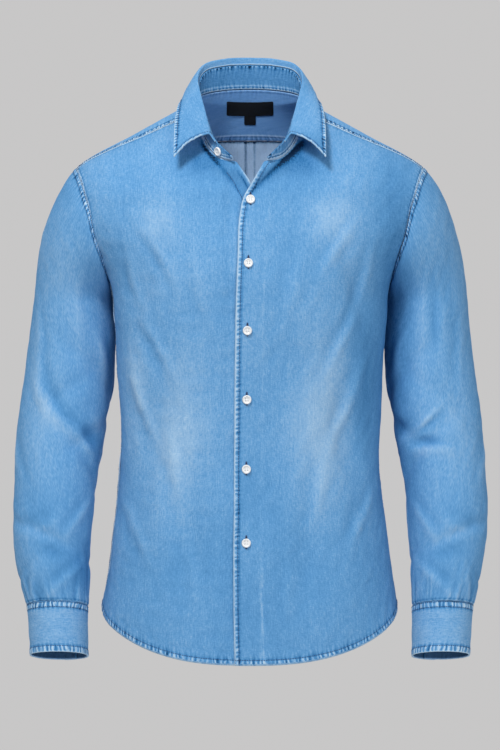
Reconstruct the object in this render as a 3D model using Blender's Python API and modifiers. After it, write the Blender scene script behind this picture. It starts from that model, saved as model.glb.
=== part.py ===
"""A long-sleeved denim shirt, filled out as if worn, with its collar open.

Metres, +Z up. The front faces -Y and the wearer's left side is +X. The origin
is the middle of the neck at the height of the high shoulder points, where the
wearer holds the shirt up. Every cloth piece is a thin wall on one shared form.
"""

import math

import bmesh
import bpy
import numpy as np
from mathutils import Matrix, Vector

# Cloth and seams
CLOTH = 0.0012            # single denim wall
BAND = 0.0020             # collar and cuff walls, two layers of cloth
GAP = 0.0003              # clearance between sewn pieces
HALF_GAP = GAP / 2 + 0.00003

# Garment sizes
NECK_HALF_WIDTH = 0.070
NECK_FRONT_DROP = 0.088
NECK_BACK_RISE = 0.021
NECK_CORNER_X = 0.021     # where the stand's front ends stop
NECK_FULL = 0.55          # how wide the neckline stays in front
NECK_DROP_POWER = 0.95
SHOULDER_Z = -0.092
ARMHOLE_MID_Z = -0.166
ARMHOLE_HALF_HEIGHT = 0.074
ARMHOLE_HALF_DEPTH = 0.062
YOKE_FRONT_TURN = 15.0    # degrees round the armhole, from the shoulder point
YOKE_BACK_TURN = 45.0
ARM_STEP = 15.0           # degrees between points round the armhole and the sleeve
SEAM_CELLS = 10           # cells along the front yoke seam
YOKE_NECK_FRONT = 11.0    # degrees round the neckline, from the high shoulder point
YOKE_NECK_BACK = -24.0    # where the yoke's rows stop meeting the armhole
YOKE_BACK_Z = -0.046
SIDE_HEM_Z = -0.676
FRONT_TAIL = 0.066
BACK_TAIL = 0.082
TAIL_ROUND = 0.69
UNDER = CLOTH + 0.0011    # how far the lower front lies beneath the upper one
UNDER_AT_V = 0.0024       # and how much deeper where the open fronts first cross
PLEAT_HALF = 0.0064       # centre-back pleat
PLEAT_RISE = 0.0016
STAND_LIFT = 0.0014       # the stand's seam above the neckline
LAPEL_RISE = 0.016        # how far the open front edges stand out at the neck
SKIRT_ROWS = 20           # rows of the panels below the armhole
NECK_ROWS = 7             # rows of a front panel that start at the neckline
BACK_COLUMNS = np.concatenate([[0.0, 0.028, 0.046], np.linspace(0.12, 1.0, 9)])
PLACKET_ROWS = slice(17, 24)
PLACKET_COLUMN = 17       # of the sleeve's points round the arm, behind
BUTTON_R = 0.0058
BUTTON_THICK = 0.0024
BUTTON_LIFT = 0.0005
TOP_BUTTON_LIFT = 0.0022  # the top button stands off the curl of the open front
COLLAR_BUTTON_COLUMN = 3  # column of the stand's points that carries its button
LABEL_SIZE = (0.064, 0.0195)
LABEL_TOP_Z = 0.0035
TAB_SIZE = (0.016, 0.013)
TAPE = 0.0008

# Horizontal sections of the body form: height, half width, front depth, back depth, squareness
BODY = np.array([
    # z      width   front   back   square
    [0.022, 0.0660, 0.015, 0.072, 2.0],
    [0.000, 0.0700, 0.026, 0.081, 2.0],
    [-0.046, 0.1525, 0.063, 0.100, 2.0],
    [-0.092, 0.2310, 0.093, 0.114, 2.0],
    [-0.108, 0.2410, 0.102, 0.117, 2.03],
    [-0.130, 0.2435, 0.113, 0.121, 2.1],
    [-0.150, 0.2395, 0.118, 0.124, 2.15],
    [-0.170, 0.2320, 0.123, 0.126, 2.2],
    [-0.190, 0.2210, 0.127, 0.128, 2.25],
    [-0.210, 0.2065, 0.130, 0.129, 2.3],
    [-0.240, 0.1895, 0.133, 0.129, 2.35],
    [-0.300, 0.1812, 0.130, 0.122, 2.4],
    [-0.360, 0.1770, 0.124, 0.111, 2.35],
    [-0.456, 0.1726, 0.119, 0.106, 2.3],
    [-0.546, 0.1780, 0.123, 0.118, 2.3],
    [-0.603, 0.1854, 0.127, 0.127, 2.35],
    [-0.676, 0.1972, 0.132, 0.135, 2.4],
    [-0.770, 0.2060, 0.136, 0.139, 2.4],
])

# How far each front stops short of the centre line, or laps past it, by height
FRONT_EDGE = np.array([
    # z       upper    lower
    [-0.0870, 0.0210, 0.0210],
    [-0.1200, 0.0026, -0.0005],
    [-0.1400, -0.0085, -0.0105],
    [-0.1600, -0.0128, -0.0145],
    [-0.2200, -0.0160, -0.0160],
    [-0.7600, -0.0190, -0.0160],
])

# Sleeve sections below the cap: centre, half width, half depth, forward tilt in degrees
SLEEVE = np.array([
    # x       y       z       half_x  half_y  tilt
    [0.2402, 0.030, -0.270, 0.0524, 0.0620, -2.0],
    [0.2404, 0.030, -0.313, 0.0566, 0.0620, 0.0],
    [0.2420, 0.028, -0.356, 0.0605, 0.0615, 2.0],
    [0.2478, 0.022, -0.403, 0.0612, 0.0600, 6.0],
    [0.2538, 0.013, -0.449, 0.0590, 0.0580, 10.0],
    [0.2587, 0.002, -0.494, 0.0556, 0.0560, 13.0],
    [0.2618, -0.009, -0.536, 0.0541, 0.0540, 14.5],
    [0.2628, -0.017, -0.564, 0.0527, 0.0525, 14.5],
    [0.2623, -0.025, -0.594, 0.0504, 0.0500, 14.5],
    [0.2598, -0.033, -0.627, 0.0474, 0.0470, 14.5],
    [0.2577, -0.038, -0.650, 0.0441, 0.0440, 14.5],
    [0.2549, -0.042, -0.668, 0.0399, 0.0407, 14.5],
])
CUFF_TOP = (0.2548, -0.0421, -0.66835, 0.0392, 0.0402)
CUFF_END = (0.2514, -0.0595, -0.7375, 0.0374, 0.0390)
CUFF_TILT = 14.5

# Collar: a row for each place from the middle of the back (0) to the leaf's front end (1)
COLLAR = np.array([
    # t     roll_x  roll_y  roll_z  edge_x  edge_y  edge_z  stand_x stand_y stand_z  neck_turn
    [0.00, 0.0000, 0.067, 0.0645, 0.0000, 0.087, 0.0150, 0.0000, 0.065, 0.0540, -90.0],
    [0.20, 0.0330, 0.061, 0.0620, 0.0400, 0.084, 0.012, 0.0325, 0.059, 0.0515, -62.0],
    [0.35, 0.0610, 0.043, 0.0525, 0.0720, 0.064, 0.003, 0.0585, 0.041, 0.0430, -36.0],
    [0.50, 0.0715, 0.015, 0.0325, 0.0890, 0.029, -0.001, 0.0690, 0.014, 0.0235, -12.0],
    [0.65, 0.0670, -0.016, 0.0060, 0.0950, -0.010, -0.008, 0.0645, -0.016, -0.0020, 9.0],
    [0.80, 0.0590, -0.051, -0.0240, 0.0985, -0.049, -0.031, 0.0555, -0.052, -0.0330, 36.0],
    [0.92, 0.0520, -0.082, -0.0500, 0.0990, -0.081, -0.057, 0.0475, -0.084, -0.0590, 56.0],
    [1.00, 0.0500, -0.095, -0.0575, 0.0985, -0.106, -0.0866, 0.0435, -0.098, -0.0665, 69.0],
])
STAND_TIP = (0.0250, -0.1120, -0.0835)

# Largest folds: place across the front or back, height, run down the cloth, slope, width, depth
BODY_FOLDS = np.array([
    # x      z       side  length  slope   width   depth
    [-0.135, -0.245, -1, 0.075, 0.35, 0.014, 0.0050],
    [0.140, -0.260, -1, 0.080, -0.30, 0.014, 0.0055],
    [-0.120, -0.430, -1, 0.090, 0.22, 0.017, 0.0045],
    [0.125, -0.455, -1, 0.100, -0.26, 0.018, 0.0050],
    [-0.080, -0.600, -1, 0.085, -0.10, 0.020, 0.0035],
    [0.075, -0.590, -1, 0.095, 0.12, 0.020, 0.0035],
    [-0.130, -0.250, 1, 0.090, 0.30, 0.016, 0.0055],
    [0.125, -0.270, 1, 0.085, -0.34, 0.016, 0.0050],
    [-0.060, -0.430, 1, 0.110, 0.14, 0.020, 0.0060],
    [0.070, -0.450, 1, 0.100, -0.18, 0.019, 0.0055],
])

# Sleeve folds: place along the sleeve (0 armhole to 1 cuff), turn round it, reach, slant, depth
SLEEVE_FOLDS = np.array([
    # along  turn   reach  slant  width  depth
    [0.42, 150.0, 70.0, 0.0012, 0.022, 0.0060],
    [0.50, 170.0, 80.0, -0.0010, 0.020, 0.0075],
    [0.57, 130.0, 65.0, 0.0013, 0.020, 0.0060],
    [0.48, 60.0, 60.0, -0.0011, 0.024, 0.0035],
    [0.78, 80.0, 75.0, 0.0008, 0.020, 0.0040],
    [0.88, 30.0, 70.0, -0.0009, 0.018, 0.0040],
    [0.86, 200.0, 70.0, 0.0010, 0.018, 0.0045],
])
CUFF_GATHERS = 6
GATHER_DEPTH = 0.0014

# Buttons down the front, by height
BUTTON_X = (-0.0008, -0.0020, -0.0033, -0.0046, -0.0046, -0.0048)
BUTTON_Z = (-0.1400, -0.2230, -0.3110, -0.4015, -0.4905, -0.5880)

# Colours
DENIM = (0.150, 0.330, 0.600, 1.0)
TAPE_BLACK = (0.012, 0.013, 0.016, 1.0)
SHELL_WHITE = (0.86, 0.86, 0.84, 1.0)


NECK_CORNER = math.degrees(math.acos((NECK_CORNER_X / NECK_HALF_WIDTH) ** (1 / NECK_FULL)))


def clear_scene():
    for item in list(bpy.data.objects):
        bpy.data.objects.remove(item)


def material(name, colour, roughness):
    made = bpy.data.materials.new(name)
    made.use_nodes = True
    shader = made.node_tree.nodes["Principled BSDF"]
    shader.inputs["Base Color"].default_value = colour
    shader.inputs["Roughness"].default_value = roughness
    shader.inputs["Metallic"].default_value = 0.0
    return made


def smoothstep(x):
    x = np.clip(x, 0.0, 1.0)
    return x * x * (3.0 - 2.0 * x)


def through(keys, values, at):
    """A smooth curve through a table's rows: cubic pieces with shared slopes."""
    keys = np.asarray(keys, float)
    values = np.asarray(values, float)
    at = np.clip(np.asarray(at, float), min(keys[0], keys[-1]), max(keys[0], keys[-1]))
    if keys[0] > keys[-1]:
        keys, values = keys[::-1], values[::-1]
    slopes = np.gradient(values, keys)
    row = np.clip(np.searchsorted(keys, at) - 1, 0, len(keys) - 2)
    span = keys[row + 1] - keys[row]
    f = (at - keys[row]) / span
    return ((2 * f**3 - 3 * f**2 + 1) * values[row] + (f**3 - 2 * f**2 + f) * span * slopes[row]
            + (3 * f**2 - 2 * f**3) * values[row + 1] + (f**3 - f**2) * span * slopes[row + 1])


def section(z):
    """Half width, front depth, back depth and squareness of the body form at a height."""
    width = np.interp(-z, -BODY[:, 0], BODY[:, 1])
    width = np.where(z < BODY[2, 0], through(BODY[2:, 0], BODY[2:, 1], z), width)
    return (width, through(BODY[:, 0], BODY[:, 2], z), through(BODY[:, 0], BODY[:, 3], z),
            np.interp(-z, -BODY[:, 0], BODY[:, 4]))


def fold_depth(x, z, side):
    """How far the large folds press the cloth in: soft grooves with rounded ends."""
    total = np.zeros_like(x)
    for fx, fz, fside, length, slope, width, depth in BODY_FOLDS:
        run = (z - fz) / length
        across = (x - fx - slope * (z - fz)) / width
        total += np.where(side == fside, depth * np.exp(-run**2 * 2) * np.exp(-across**2), 0.0)
    return total


def body_point(turn, z, out=0.0):
    """A point on the body form. turn: 0 at the wearer's left side, 90 in front, -90 behind."""
    turn, z = np.broadcast_arrays(np.asarray(turn, float), np.asarray(z, float))
    width, front, back, square = section(z)
    angle = np.radians(turn)
    depth = np.where(angle >= 0, front, back)
    side = np.where(angle >= 0, -1.0, 1.0)
    across = np.sign(np.cos(angle)) * np.abs(np.cos(angle)) ** (2 / square)
    deep = np.abs(np.sin(angle)) ** (2 / square)
    x = width * across
    y = side * depth * deep
    normal_x = across / width
    normal_y = side * deep / depth
    size = np.hypot(normal_x, normal_y)
    shift = out - fold_depth(x, z, side) * smoothstep((SHOULDER_Z - z) / 0.08) * smoothstep(deep * 3)
    return np.stack([x + shift * normal_x / size, y + shift * normal_y / size, z], -1)


def turn_of_x(x, z, front=True):
    width, _, _, square = section(np.asarray(z, float))
    ratio = np.clip(np.abs(x) / width, 0, 1) ** (square / 2)
    turn = np.degrees(np.arccos(np.sign(x) * ratio))
    return turn if front else -turn


def neckline(psi):
    """Turn and height on the neckline. psi: -90 middle of the back, 0 high shoulder, 90 front."""
    psi = np.radians(np.asarray(psi, float))
    x = NECK_HALF_WIDTH * np.cos(psi) ** np.where(psi >= 0, NECK_FULL, 1.0)
    drop = np.abs(np.sin(psi))
    z = np.where(psi >= 0, -NECK_FRONT_DROP * drop**NECK_DROP_POWER, NECK_BACK_RISE * drop)
    front = turn_of_x(x, z)
    return np.where(psi >= 0, front, -front), z


def armhole(phi):
    """Turn and height on the armhole. phi: 0 at the shoulder point, 90 in front, 180 underarm."""
    phi = np.radians(np.asarray(phi, float))
    z = ARMHOLE_MID_Z + ARMHOLE_HALF_HEIGHT * np.cos(phi)
    y = ARMHOLE_HALF_DEPTH * np.sin(phi)
    _, front, back, square = section(z)
    depth = np.where(y >= 0, front, back)
    turn = np.degrees(np.arcsin((np.abs(y) / depth) ** (square / 2)))
    return np.where(y >= 0, turn, -turn), z


def hem_z(turn, tail):
    return SIDE_HEM_Z - tail * np.abs(np.sin(np.radians(turn))) ** (2 * TAIL_ROUND)


def grid_object(name, points, thickness, paint, closed=False):
    """A cloth piece: a grid of outer points, walled inwards by a Solidify modifier."""
    rows, cols = points.shape[:2]
    index = np.arange(rows * cols).reshape(rows, cols)
    if closed:
        index = np.concatenate([index, index[:, :1]], 1)
    quads = np.stack([index[:-1, :-1], index[:-1, 1:], index[1:, 1:], index[1:, :-1]], -1)
    mesh = bpy.data.meshes.new(name)
    mesh.from_pydata(points.reshape(-1, 3).tolist(), [], quads.reshape(-1, 4).tolist())
    mesh.shade_smooth()
    mesh.materials.append(paint)
    item = bpy.data.objects.new(name, mesh)
    PARTS.objects.link(item)
    wall = item.modifiers.new("wall", "SOLIDIFY")
    wall.thickness = thickness
    wall.offset = -1.0
    wall.use_even_offset = False
    return item


def inset(points, ends=HALF_GAP):
    """Pull a grid's borders back from its seams: half the gap, or more at its column ends."""
    made = points.copy()

    def pull(edge, inner, gap):
        way = inner - edge
        return edge + gap * way / np.linalg.norm(way, axis=-1, keepdims=True)

    made[0] = pull(made[0], points[1], HALF_GAP)
    made[-1] = pull(made[-1], points[-2], HALF_GAP)
    made[:, 0] = pull(made[:, 0], points[:, 1], ends)
    made[:, -1] = pull(made[:, -1], points[:, -2], ends)
    return made


def mirrored(points):
    """The same grid on the other side of the body, its columns in the turned-round order."""
    return (points * np.array([-1.0, 1.0, 1.0]))[:, ::-1]


def both_sides(points):
    """A grid that starts on the centre line, joined to its mirror image there."""
    return np.concatenate([mirrored(points)[:, :-1], points], 1)


def panel_rows(yoke_turn):
    """Rows of a front or back panel: shares of its armhole, then of the skirt below it."""
    cap = np.linspace(0.0, 1.0, round((180.0 - yoke_turn) / ARM_STEP) + 1)
    skirt = np.linspace(0.0, 1.0, SKIRT_ROWS + 1)[1:]
    return cap, skirt


def lapel(x, z):
    """How far the open front edges stand out below the collar."""
    open_up = smoothstep((z + 0.150) / 0.055) * (z < 0)
    return LAPEL_RISE * smoothstep((0.060 * open_up - x) / 0.050) * open_up


def back_seam_z(half, end_z):
    """Height of the back yoke seam, from the middle (half 0) down to the armhole (half 1)."""
    return YOKE_BACK_Z + (end_z - YOKE_BACK_Z) * half**2


def edge_turn(z, upper):
    """Where a front panel's own edge runs, as a turn on the body form."""
    x = np.interp(-z, -FRONT_EDGE[:, 0], FRONT_EDGE[:, 1 if upper else 2])
    return turn_of_x(x, z)


def front_panel(upper):
    """Half the front, on the +X side, from its own front edge to the side seam."""
    cap, skirt = panel_rows(YOKE_FRONT_TURN)
    across = np.linspace(0.0, 1.0, SEAM_CELLS + 1)
    phi = YOKE_FRONT_TURN + cap * (180.0 - YOKE_FRONT_TURN)
    outer_turn, outer_z = armhole(phi)
    neck_turn, neck_z = neckline(np.linspace(YOKE_NECK_FRONT, NECK_CORNER, NECK_ROWS))
    edge_z = np.linspace(neck_z[-1], outer_z[-1], len(cap) - len(neck_z) + 1)[1:]
    inner_z = np.concatenate([neck_z, edge_z])
    inner_turn = np.concatenate([neck_turn, edge_turn(edge_z, upper)])
    turn = inner_turn[:, None] + (outer_turn - inner_turn)[:, None] * across
    z = inner_z[:, None] + (outer_z - inner_z)[:, None] * across
    top_z = outer_z[-1]
    level = top_z + skirt * (SIDE_HEM_Z - top_z)
    skirt_turn = edge_turn(level, upper)[:, None] * (1 - across)
    tail = (hem_z(skirt_turn, FRONT_TAIL) - SIDE_HEM_Z) * skirt[:, None]
    turn = np.concatenate([turn, skirt_turn])
    z = np.concatenate([z, level[:, None] + tail])
    x = body_point(turn, z)[..., 0]
    under = (UNDER + UNDER_AT_V * smoothstep((z + 0.19) / 0.04)) * smoothstep((0.040 - x) / 0.018)
    under = np.zeros_like(x) if upper else under
    points = body_point(turn, z, lapel(x, z) - under)
    return inset(points)


def back_panel():
    """The whole back, under the yoke, with a narrow pleat down its middle."""
    cap, skirt = panel_rows(YOKE_BACK_TURN)
    phi = -(YOKE_BACK_TURN + cap * (180.0 - YOKE_BACK_TURN))
    side_turn, side_z = armhole(phi)
    side_turn = np.concatenate([side_turn, np.zeros(len(skirt))])
    side_z = np.concatenate([side_z, side_z[-1] + skirt * (SIDE_HEM_Z - side_z[-1])])
    mid_z = np.concatenate([YOKE_BACK_Z + cap * (side_z[len(cap) - 1] - YOKE_BACK_Z), side_z[len(cap):]])
    fall = np.concatenate([np.zeros(len(cap)), skirt])
    half = BACK_COLUMNS
    turn = -90.0 + (side_turn + 90.0)[:, None] * half
    z = mid_z[:, None] + (side_z - mid_z)[:, None] * half**2
    z = z + (hem_z(turn, BACK_TAIL) - SIDE_HEM_Z) * fall[:, None]
    x = body_point(turn, z)[..., 0]
    rise = PLEAT_RISE * (np.abs(x) < PLEAT_HALF * 1.02) * smoothstep((z + 0.30) / 0.12)
    points = body_point(turn, z, rise)
    return inset(both_sides(points))


def yoke_grid():
    """The yoke, carried round the neck from one front seam to the other."""
    round_arm = round((YOKE_FRONT_TURN + YOKE_BACK_TURN) / ARM_STEP)
    phi = np.linspace(YOKE_FRONT_TURN, -YOKE_BACK_TURN, round_arm + 1)
    out_turn, out_z = armhole(phi)
    half = BACK_COLUMNS[-2::-1]
    back_turn = -90.0 + (out_turn[-1] + 90.0) * half
    back_z = back_seam_z(half, out_z[-1])
    out_turn = np.concatenate([out_turn, back_turn])
    out_z = np.concatenate([out_z, back_z])
    psi = np.concatenate([np.linspace(YOKE_NECK_FRONT, YOKE_NECK_BACK, round_arm + 1),
                          -90.0 + (YOKE_NECK_BACK + 90.0) * half])
    in_turn, in_z = neckline(psi)
    down = np.linspace(0.0, 1.0, SEAM_CELLS + 1)[:, None]
    turn = in_turn + (out_turn - in_turn) * down
    z = in_z + (out_z - in_z) * down
    points = body_point(turn, z)
    return inset(both_sides(points[:, ::-1]), 3 * HALF_GAP)


def sleeve_ring(row, phi):
    """A tilted oval. phi: 0 on the outer side, 90 in front, 180 next to the body."""
    x, y, z, half_x, half_y, tilt = row
    lean = math.radians(tilt)
    side = half_x * np.cos(phi)
    fore = half_y * np.sin(phi)
    return np.stack([x + side, y - fore * math.cos(lean), z + fore * math.sin(lean)], -1)


def sleeve_rings(count):
    """Sleeve sections spaced evenly down the table of sections."""
    keys = np.arange(len(SLEEVE))
    at = np.linspace(0, len(SLEEVE) - 1, count)
    return np.stack([through(keys, SLEEVE[:, col], at) for col in range(SLEEVE.shape[1])], -1)


def sleeve_grid(around, cap_rows, arm_rows):
    """The sleeve: a cap that leaves the armhole smoothly, then ovals down to the cuff."""
    turns = np.linspace(0.0, 360.0, around, endpoint=False)
    phi = np.radians(turns)
    rings = sleeve_rings(arm_rows + 1)
    arm = np.stack([sleeve_ring(row, phi) for row in rings])
    signed = np.where(turns > 180.0, turns - 360.0, turns)
    start = body_point(*armhole(signed))
    high = (1 + np.cos(phi)) / 2
    leave = np.stack([0.30 + 0.44 * high, -0.22 * np.sin(phi), -0.95 + 0.28 * high], -1)
    leave /= np.linalg.norm(leave, axis=-1, keepdims=True)
    start = start + leave * (GAP + 0.0002)
    arrive = arm[1] - arm[0]
    arrive /= np.linalg.norm(arrive, axis=-1, keepdims=True)
    reach = np.linalg.norm(arm[0] - start, axis=-1, keepdims=True)
    cap = []
    for f in np.linspace(0.0, 1.0, cap_rows + 1)[:-1]:
        cap.append((2 * f**3 - 3 * f**2 + 1) * start + (f**3 - 2 * f**2 + f) * reach * 0.92 * leave
                   + (3 * f**2 - 2 * f**3) * arm[0] + (f**3 - f**2) * reach * 1.0 * arrive)
    points = np.concatenate([np.stack(cap), arm])
    along = np.linspace(0.0, 1.0, len(points))[:, None]
    shift = -sleeve_folds(along, turns[None, :])
    shift = shift + GATHER_DEPTH * np.cos(CUFF_GATHERS * phi) * smoothstep((along - 0.90) / 0.07)
    centre = points.mean(1, keepdims=True)
    way = points - centre
    way /= np.linalg.norm(way, axis=-1, keepdims=True)
    ease = smoothstep(along / 0.2)[..., None]
    return points + way * shift[..., None] * ease


def sleeve_folds(along, turn):
    total = np.zeros(np.broadcast(along, turn).shape)
    for place, middle, reach, slant, width, depth in SLEEVE_FOLDS:
        around = (turn - middle + 180.0) % 360.0 - 180.0
        off = (along - place - slant * around) / width
        total += depth * np.exp(-off**2) * np.exp(-(around / reach) ** 2 * 1.5)
    return total


def cuff_grid(around):
    """The cuff: a band wrapped round the wrist, its end lapped over its start behind."""
    lap = 26.0
    begin = 236.0
    share = np.linspace(0.0, 1.0, around + 1)
    turns = begin + share * (360.0 + lap)
    out = (BAND + 0.0008) * smoothstep((share - 0.72) / 0.18)
    rows = []
    for f in np.linspace(0.0, 1.0, 4):
        row = [a + f * (b - a) for a, b in zip(CUFF_TOP, CUFF_END)] + [CUFF_TILT]
        phi = np.radians(turns)
        ring = sleeve_ring(row, phi)
        grown = sleeve_ring(row[:3] + [row[3] + 0.01, row[4] + 0.01, CUFF_TILT], phi)
        rows.append(ring + (grown - ring) * (out / 0.01)[:, None])
    return np.stack(rows)


def collar_row(columns, at):
    return np.stack([through(COLLAR[:, 0], COLLAR[:, col], at) for col in columns], -1)


def stand_grid():
    """The collar stand, from the neckline up, with rounded front ends."""
    at = np.concatenate([np.linspace(0.0, 1.0, 16), [1.0, 1.0, 1.0]])
    end = np.concatenate([np.zeros(16), [0.4, 0.75, 1.0]])
    psi = collar_row((10,), at)[:, 0]
    psi = psi + (NECK_CORNER - psi) * end
    turn, z = neckline(psi)
    base = body_point(turn, z, lapel(body_point(turn, z)[:, 0], z))
    top = collar_row((7, 8, 9), at)
    top = top + (np.array(STAND_TIP) - top) * smoothstep(end)[:, None]
    rise = top - base
    base += STAND_LIFT * rise / np.linalg.norm(rise, axis=-1, keepdims=True)
    rows = [base + (top - base) * f for f in (0.0, 0.35, 0.7, 1.0)]
    points = np.stack(rows)
    return both_sides(points)


def leaf_grid():
    """The collar leaf: up from the stand, over the roll and down to its points."""
    at = np.linspace(0.0, 1.0, 15)
    top = collar_row((7, 8, 9), at)
    roll = collar_row((1, 2, 3), at)
    edge = collar_row((4, 5, 6), at)
    rise = roll - top
    start = top + rise * 0.06 + np.array([0.0, 0.0, GAP])
    away = edge - roll
    away[:, 2] = 0
    away /= np.linalg.norm(away, axis=-1, keepdims=True)
    bulge = away * 0.006 + np.array([0.0, 0.0, 0.002])
    rows = [start, roll - away * 0.0005]
    for f in (0.10, 0.32, 0.55, 0.78, 1.0):
        rows.append(roll + (edge - roll) * f + bulge * math.sin(math.pi * min(f + 0.06, 1.0)))
    points = np.stack(rows)
    return both_sides(points)


def tape_grid(size, top_z):
    """A flat tape sewn inside the yoke, made from the yoke's own form, moved in."""
    width, height = size
    z = np.linspace(top_z, top_z - height, 3)[:, None]
    x = np.linspace(-width / 2, width / 2, 9)[None, :]
    half = np.abs(x) * np.ones_like(z)
    turn = turn_of_x(half, z * np.ones_like(x), front=False)
    points = body_point(turn, z * np.ones_like(x), -(CLOTH + 2.5 * GAP))
    points[..., 0] = np.where(x < 0, -points[..., 0], points[..., 0])
    return points


def button(name, place, normal, paint, lift=BUTTON_LIFT):
    """A turned button with a raised rim, set on the cloth behind it."""
    profile = ((0.0, 0.55), (0.62, 0.55), (0.74, 1.0), (0.92, 1.0), (1.0, 0.6), (0.94, 0.0), (0.0, 0.0))
    mesh = bpy.data.meshes.new(name)
    shape = bmesh.new()
    corners = [shape.verts.new((r * BUTTON_R, 0.0, h * BUTTON_THICK)) for r, h in profile]
    for first, second in zip(corners, corners[1:]):
        shape.edges.new((first, second))
    shape.to_mesh(mesh)
    shape.free()
    mesh.materials.append(paint)
    item = bpy.data.objects.new(name, mesh)
    PARTS.objects.link(item)
    spin = item.modifiers.new("turn", "SCREW")
    spin.steps = 14
    spin.render_steps = 14
    spin.use_merge_vertices = True
    spin.merge_threshold = 0.00005
    way = Vector(normal).normalized()
    turn = way.to_track_quat("Z", "Y").to_matrix().to_4x4()
    item.matrix_world = Matrix.Translation(Vector(place) + way * lift) @ turn
    return item


def seat(grid, row, col, centre):
    """A spot between two rows of a grid, and the way out of the cloth there."""
    spot = (grid[row, col] + grid[row + 1, col]) / 2
    down = grid[row + 1, col] - grid[row, col]
    across = grid[row, col + 1] - grid[row, col - 1]
    way = np.cross(across, down)
    way /= np.linalg.norm(way)
    return spot, way * np.sign(np.dot(way, spot - np.asarray(centre)))


def front_normal(x, z):
    """The body form's outward direction in front, at a place across it."""
    step = 0.002

    def place(px, pz):
        return body_point(turn_of_x(np.array(px), np.array(pz)), pz, lapel(px, pz))

    here = place(x, z)
    up = place(x, z + step)
    side = place(x + step, z)
    way = np.cross(side - here, up - here)
    return here, way / np.linalg.norm(way)


def outward(points, centre):
    """Whether a grid's faces point away from a centre."""
    down = points[1:, :-1] - points[:-1, :-1]
    across = points[:-1, 1:] - points[:-1, :-1]
    normal = np.cross(across, down)
    away = points[:-1, :-1] - centre
    return (normal * away).sum() > 0


def cloth(name, points, thickness, paint, centre, closed=False):
    """Make a cloth piece, with its outer face away from the given centre."""
    if not outward(points, np.asarray(centre)):
        points = points[:, ::-1]
    return grid_object(name, points, thickness, paint, closed)


def make_body(denim):
    core = (0.0, 0.0, -0.35)
    cloth("front_left", front_panel(True), CLOTH, denim, core)
    cloth("front_right", mirrored(front_panel(False)), CLOTH, denim, core)
    cloth("back", back_panel(), CLOTH, denim, core)
    cloth("yoke", yoke_grid(), CLOTH, denim, (0.0, 0.0, -0.3))


def make_sleeves(denim, white):
    sleeve = sleeve_grid(round(360 / ARM_STEP), 6, 18)
    cuff = cuff_grid(24)
    for side, sign in (("left", 1.0), ("right", -1.0)):
        flip = np.array([sign, 1.0, 1.0])
        for name, grid, wall, closed in (("sleeve", sleeve, CLOTH, True), ("cuff", cuff, BAND, False)):
            middle = grid.mean((0, 1)) * flip
            points = grid * flip
            cloth(f"{name}_{side}", points, wall, denim, middle, closed)
        strip = placket_grid(sleeve) * flip
        cloth(f"sleeve_placket_{side}", strip, CLOTH, denim, sleeve[18].mean(0) * flip)
        spot, way = seat(cuff, 1, cuff.shape[1] - 2, cuff.mean((0, 1)))
        button(f"button_cuff_{side}", spot * flip, way * flip, white)


def placket_grid(sleeve):
    """A strip over the sleeve's opening behind, made from the sleeve's points, moved out."""
    rows = sleeve[PLACKET_ROWS]
    a, b, c = (rows[:, PLACKET_COLUMN + step] for step in range(3))
    middle = rows.mean(1)
    strip = np.stack([a + (b - a) * 0.25, b, b + (c - b) * 0.75], 1)
    way = strip - middle[:, None]
    way /= np.linalg.norm(way, axis=-1, keepdims=True)
    return strip + way * (CLOTH + GAP + 0.0004)


def make_collar(denim, white):
    stand = stand_grid()
    cloth("collar_stand", stand, BAND, denim, (0.0, 0.0, 0.0))
    grid_object("collar_leaf", leaf_grid(), BAND, denim)
    button("button_collar", *seat(stand, 1, COLLAR_BUTTON_COLUMN, (0.0, 0.0, 0.0)), white)


def make_label(tape):
    middle = (0.0, 0.0, 0.0)
    cloth("neck_label", tape_grid(LABEL_SIZE, LABEL_TOP_Z), TAPE, tape, middle)
    cloth("size_tab", tape_grid(TAB_SIZE, LABEL_TOP_Z - LABEL_SIZE[1] - 2 * GAP), TAPE, tape, middle)


def make_buttons(white):
    for number, (x, z) in enumerate(zip(BUTTON_X, BUTTON_Z), 1):
        spot, way = front_normal(x, z)
        button(f"button_{number}", spot, way, white, TOP_BUTTON_LIFT if number == 1 else BUTTON_LIFT)


clear_scene()
PARTS = bpy.data.collections.new("denim_shirt")
bpy.context.scene.collection.children.link(PARTS)
DENIM_CLOTH = material("denim", DENIM, 0.85)
BLACK_TAPE = material("tape", TAPE_BLACK, 0.7)
BUTTON_WHITE = material("button", SHELL_WHITE, 0.3)
make_body(DENIM_CLOTH)
make_sleeves(DENIM_CLOTH, BUTTON_WHITE)
make_collar(DENIM_CLOTH, BUTTON_WHITE)
make_label(BLACK_TAPE)
make_buttons(BUTTON_WHITE)
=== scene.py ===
# %% [markdown]
# # A denim shirt and its cloth
# This lesson dresses a long-sleeved denim shirt. Plain walls for every piece come from a
# packed model, the frame, and stay where they are. Each cell below makes one piece or one
# finish: the cloth with its folds and puckered seams, the stitches, the buttons, the light.
# The shirt is filled out as if somebody wore it, its front faces -Y, and all sizes are metres.

# %% Load the frame
import math

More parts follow.
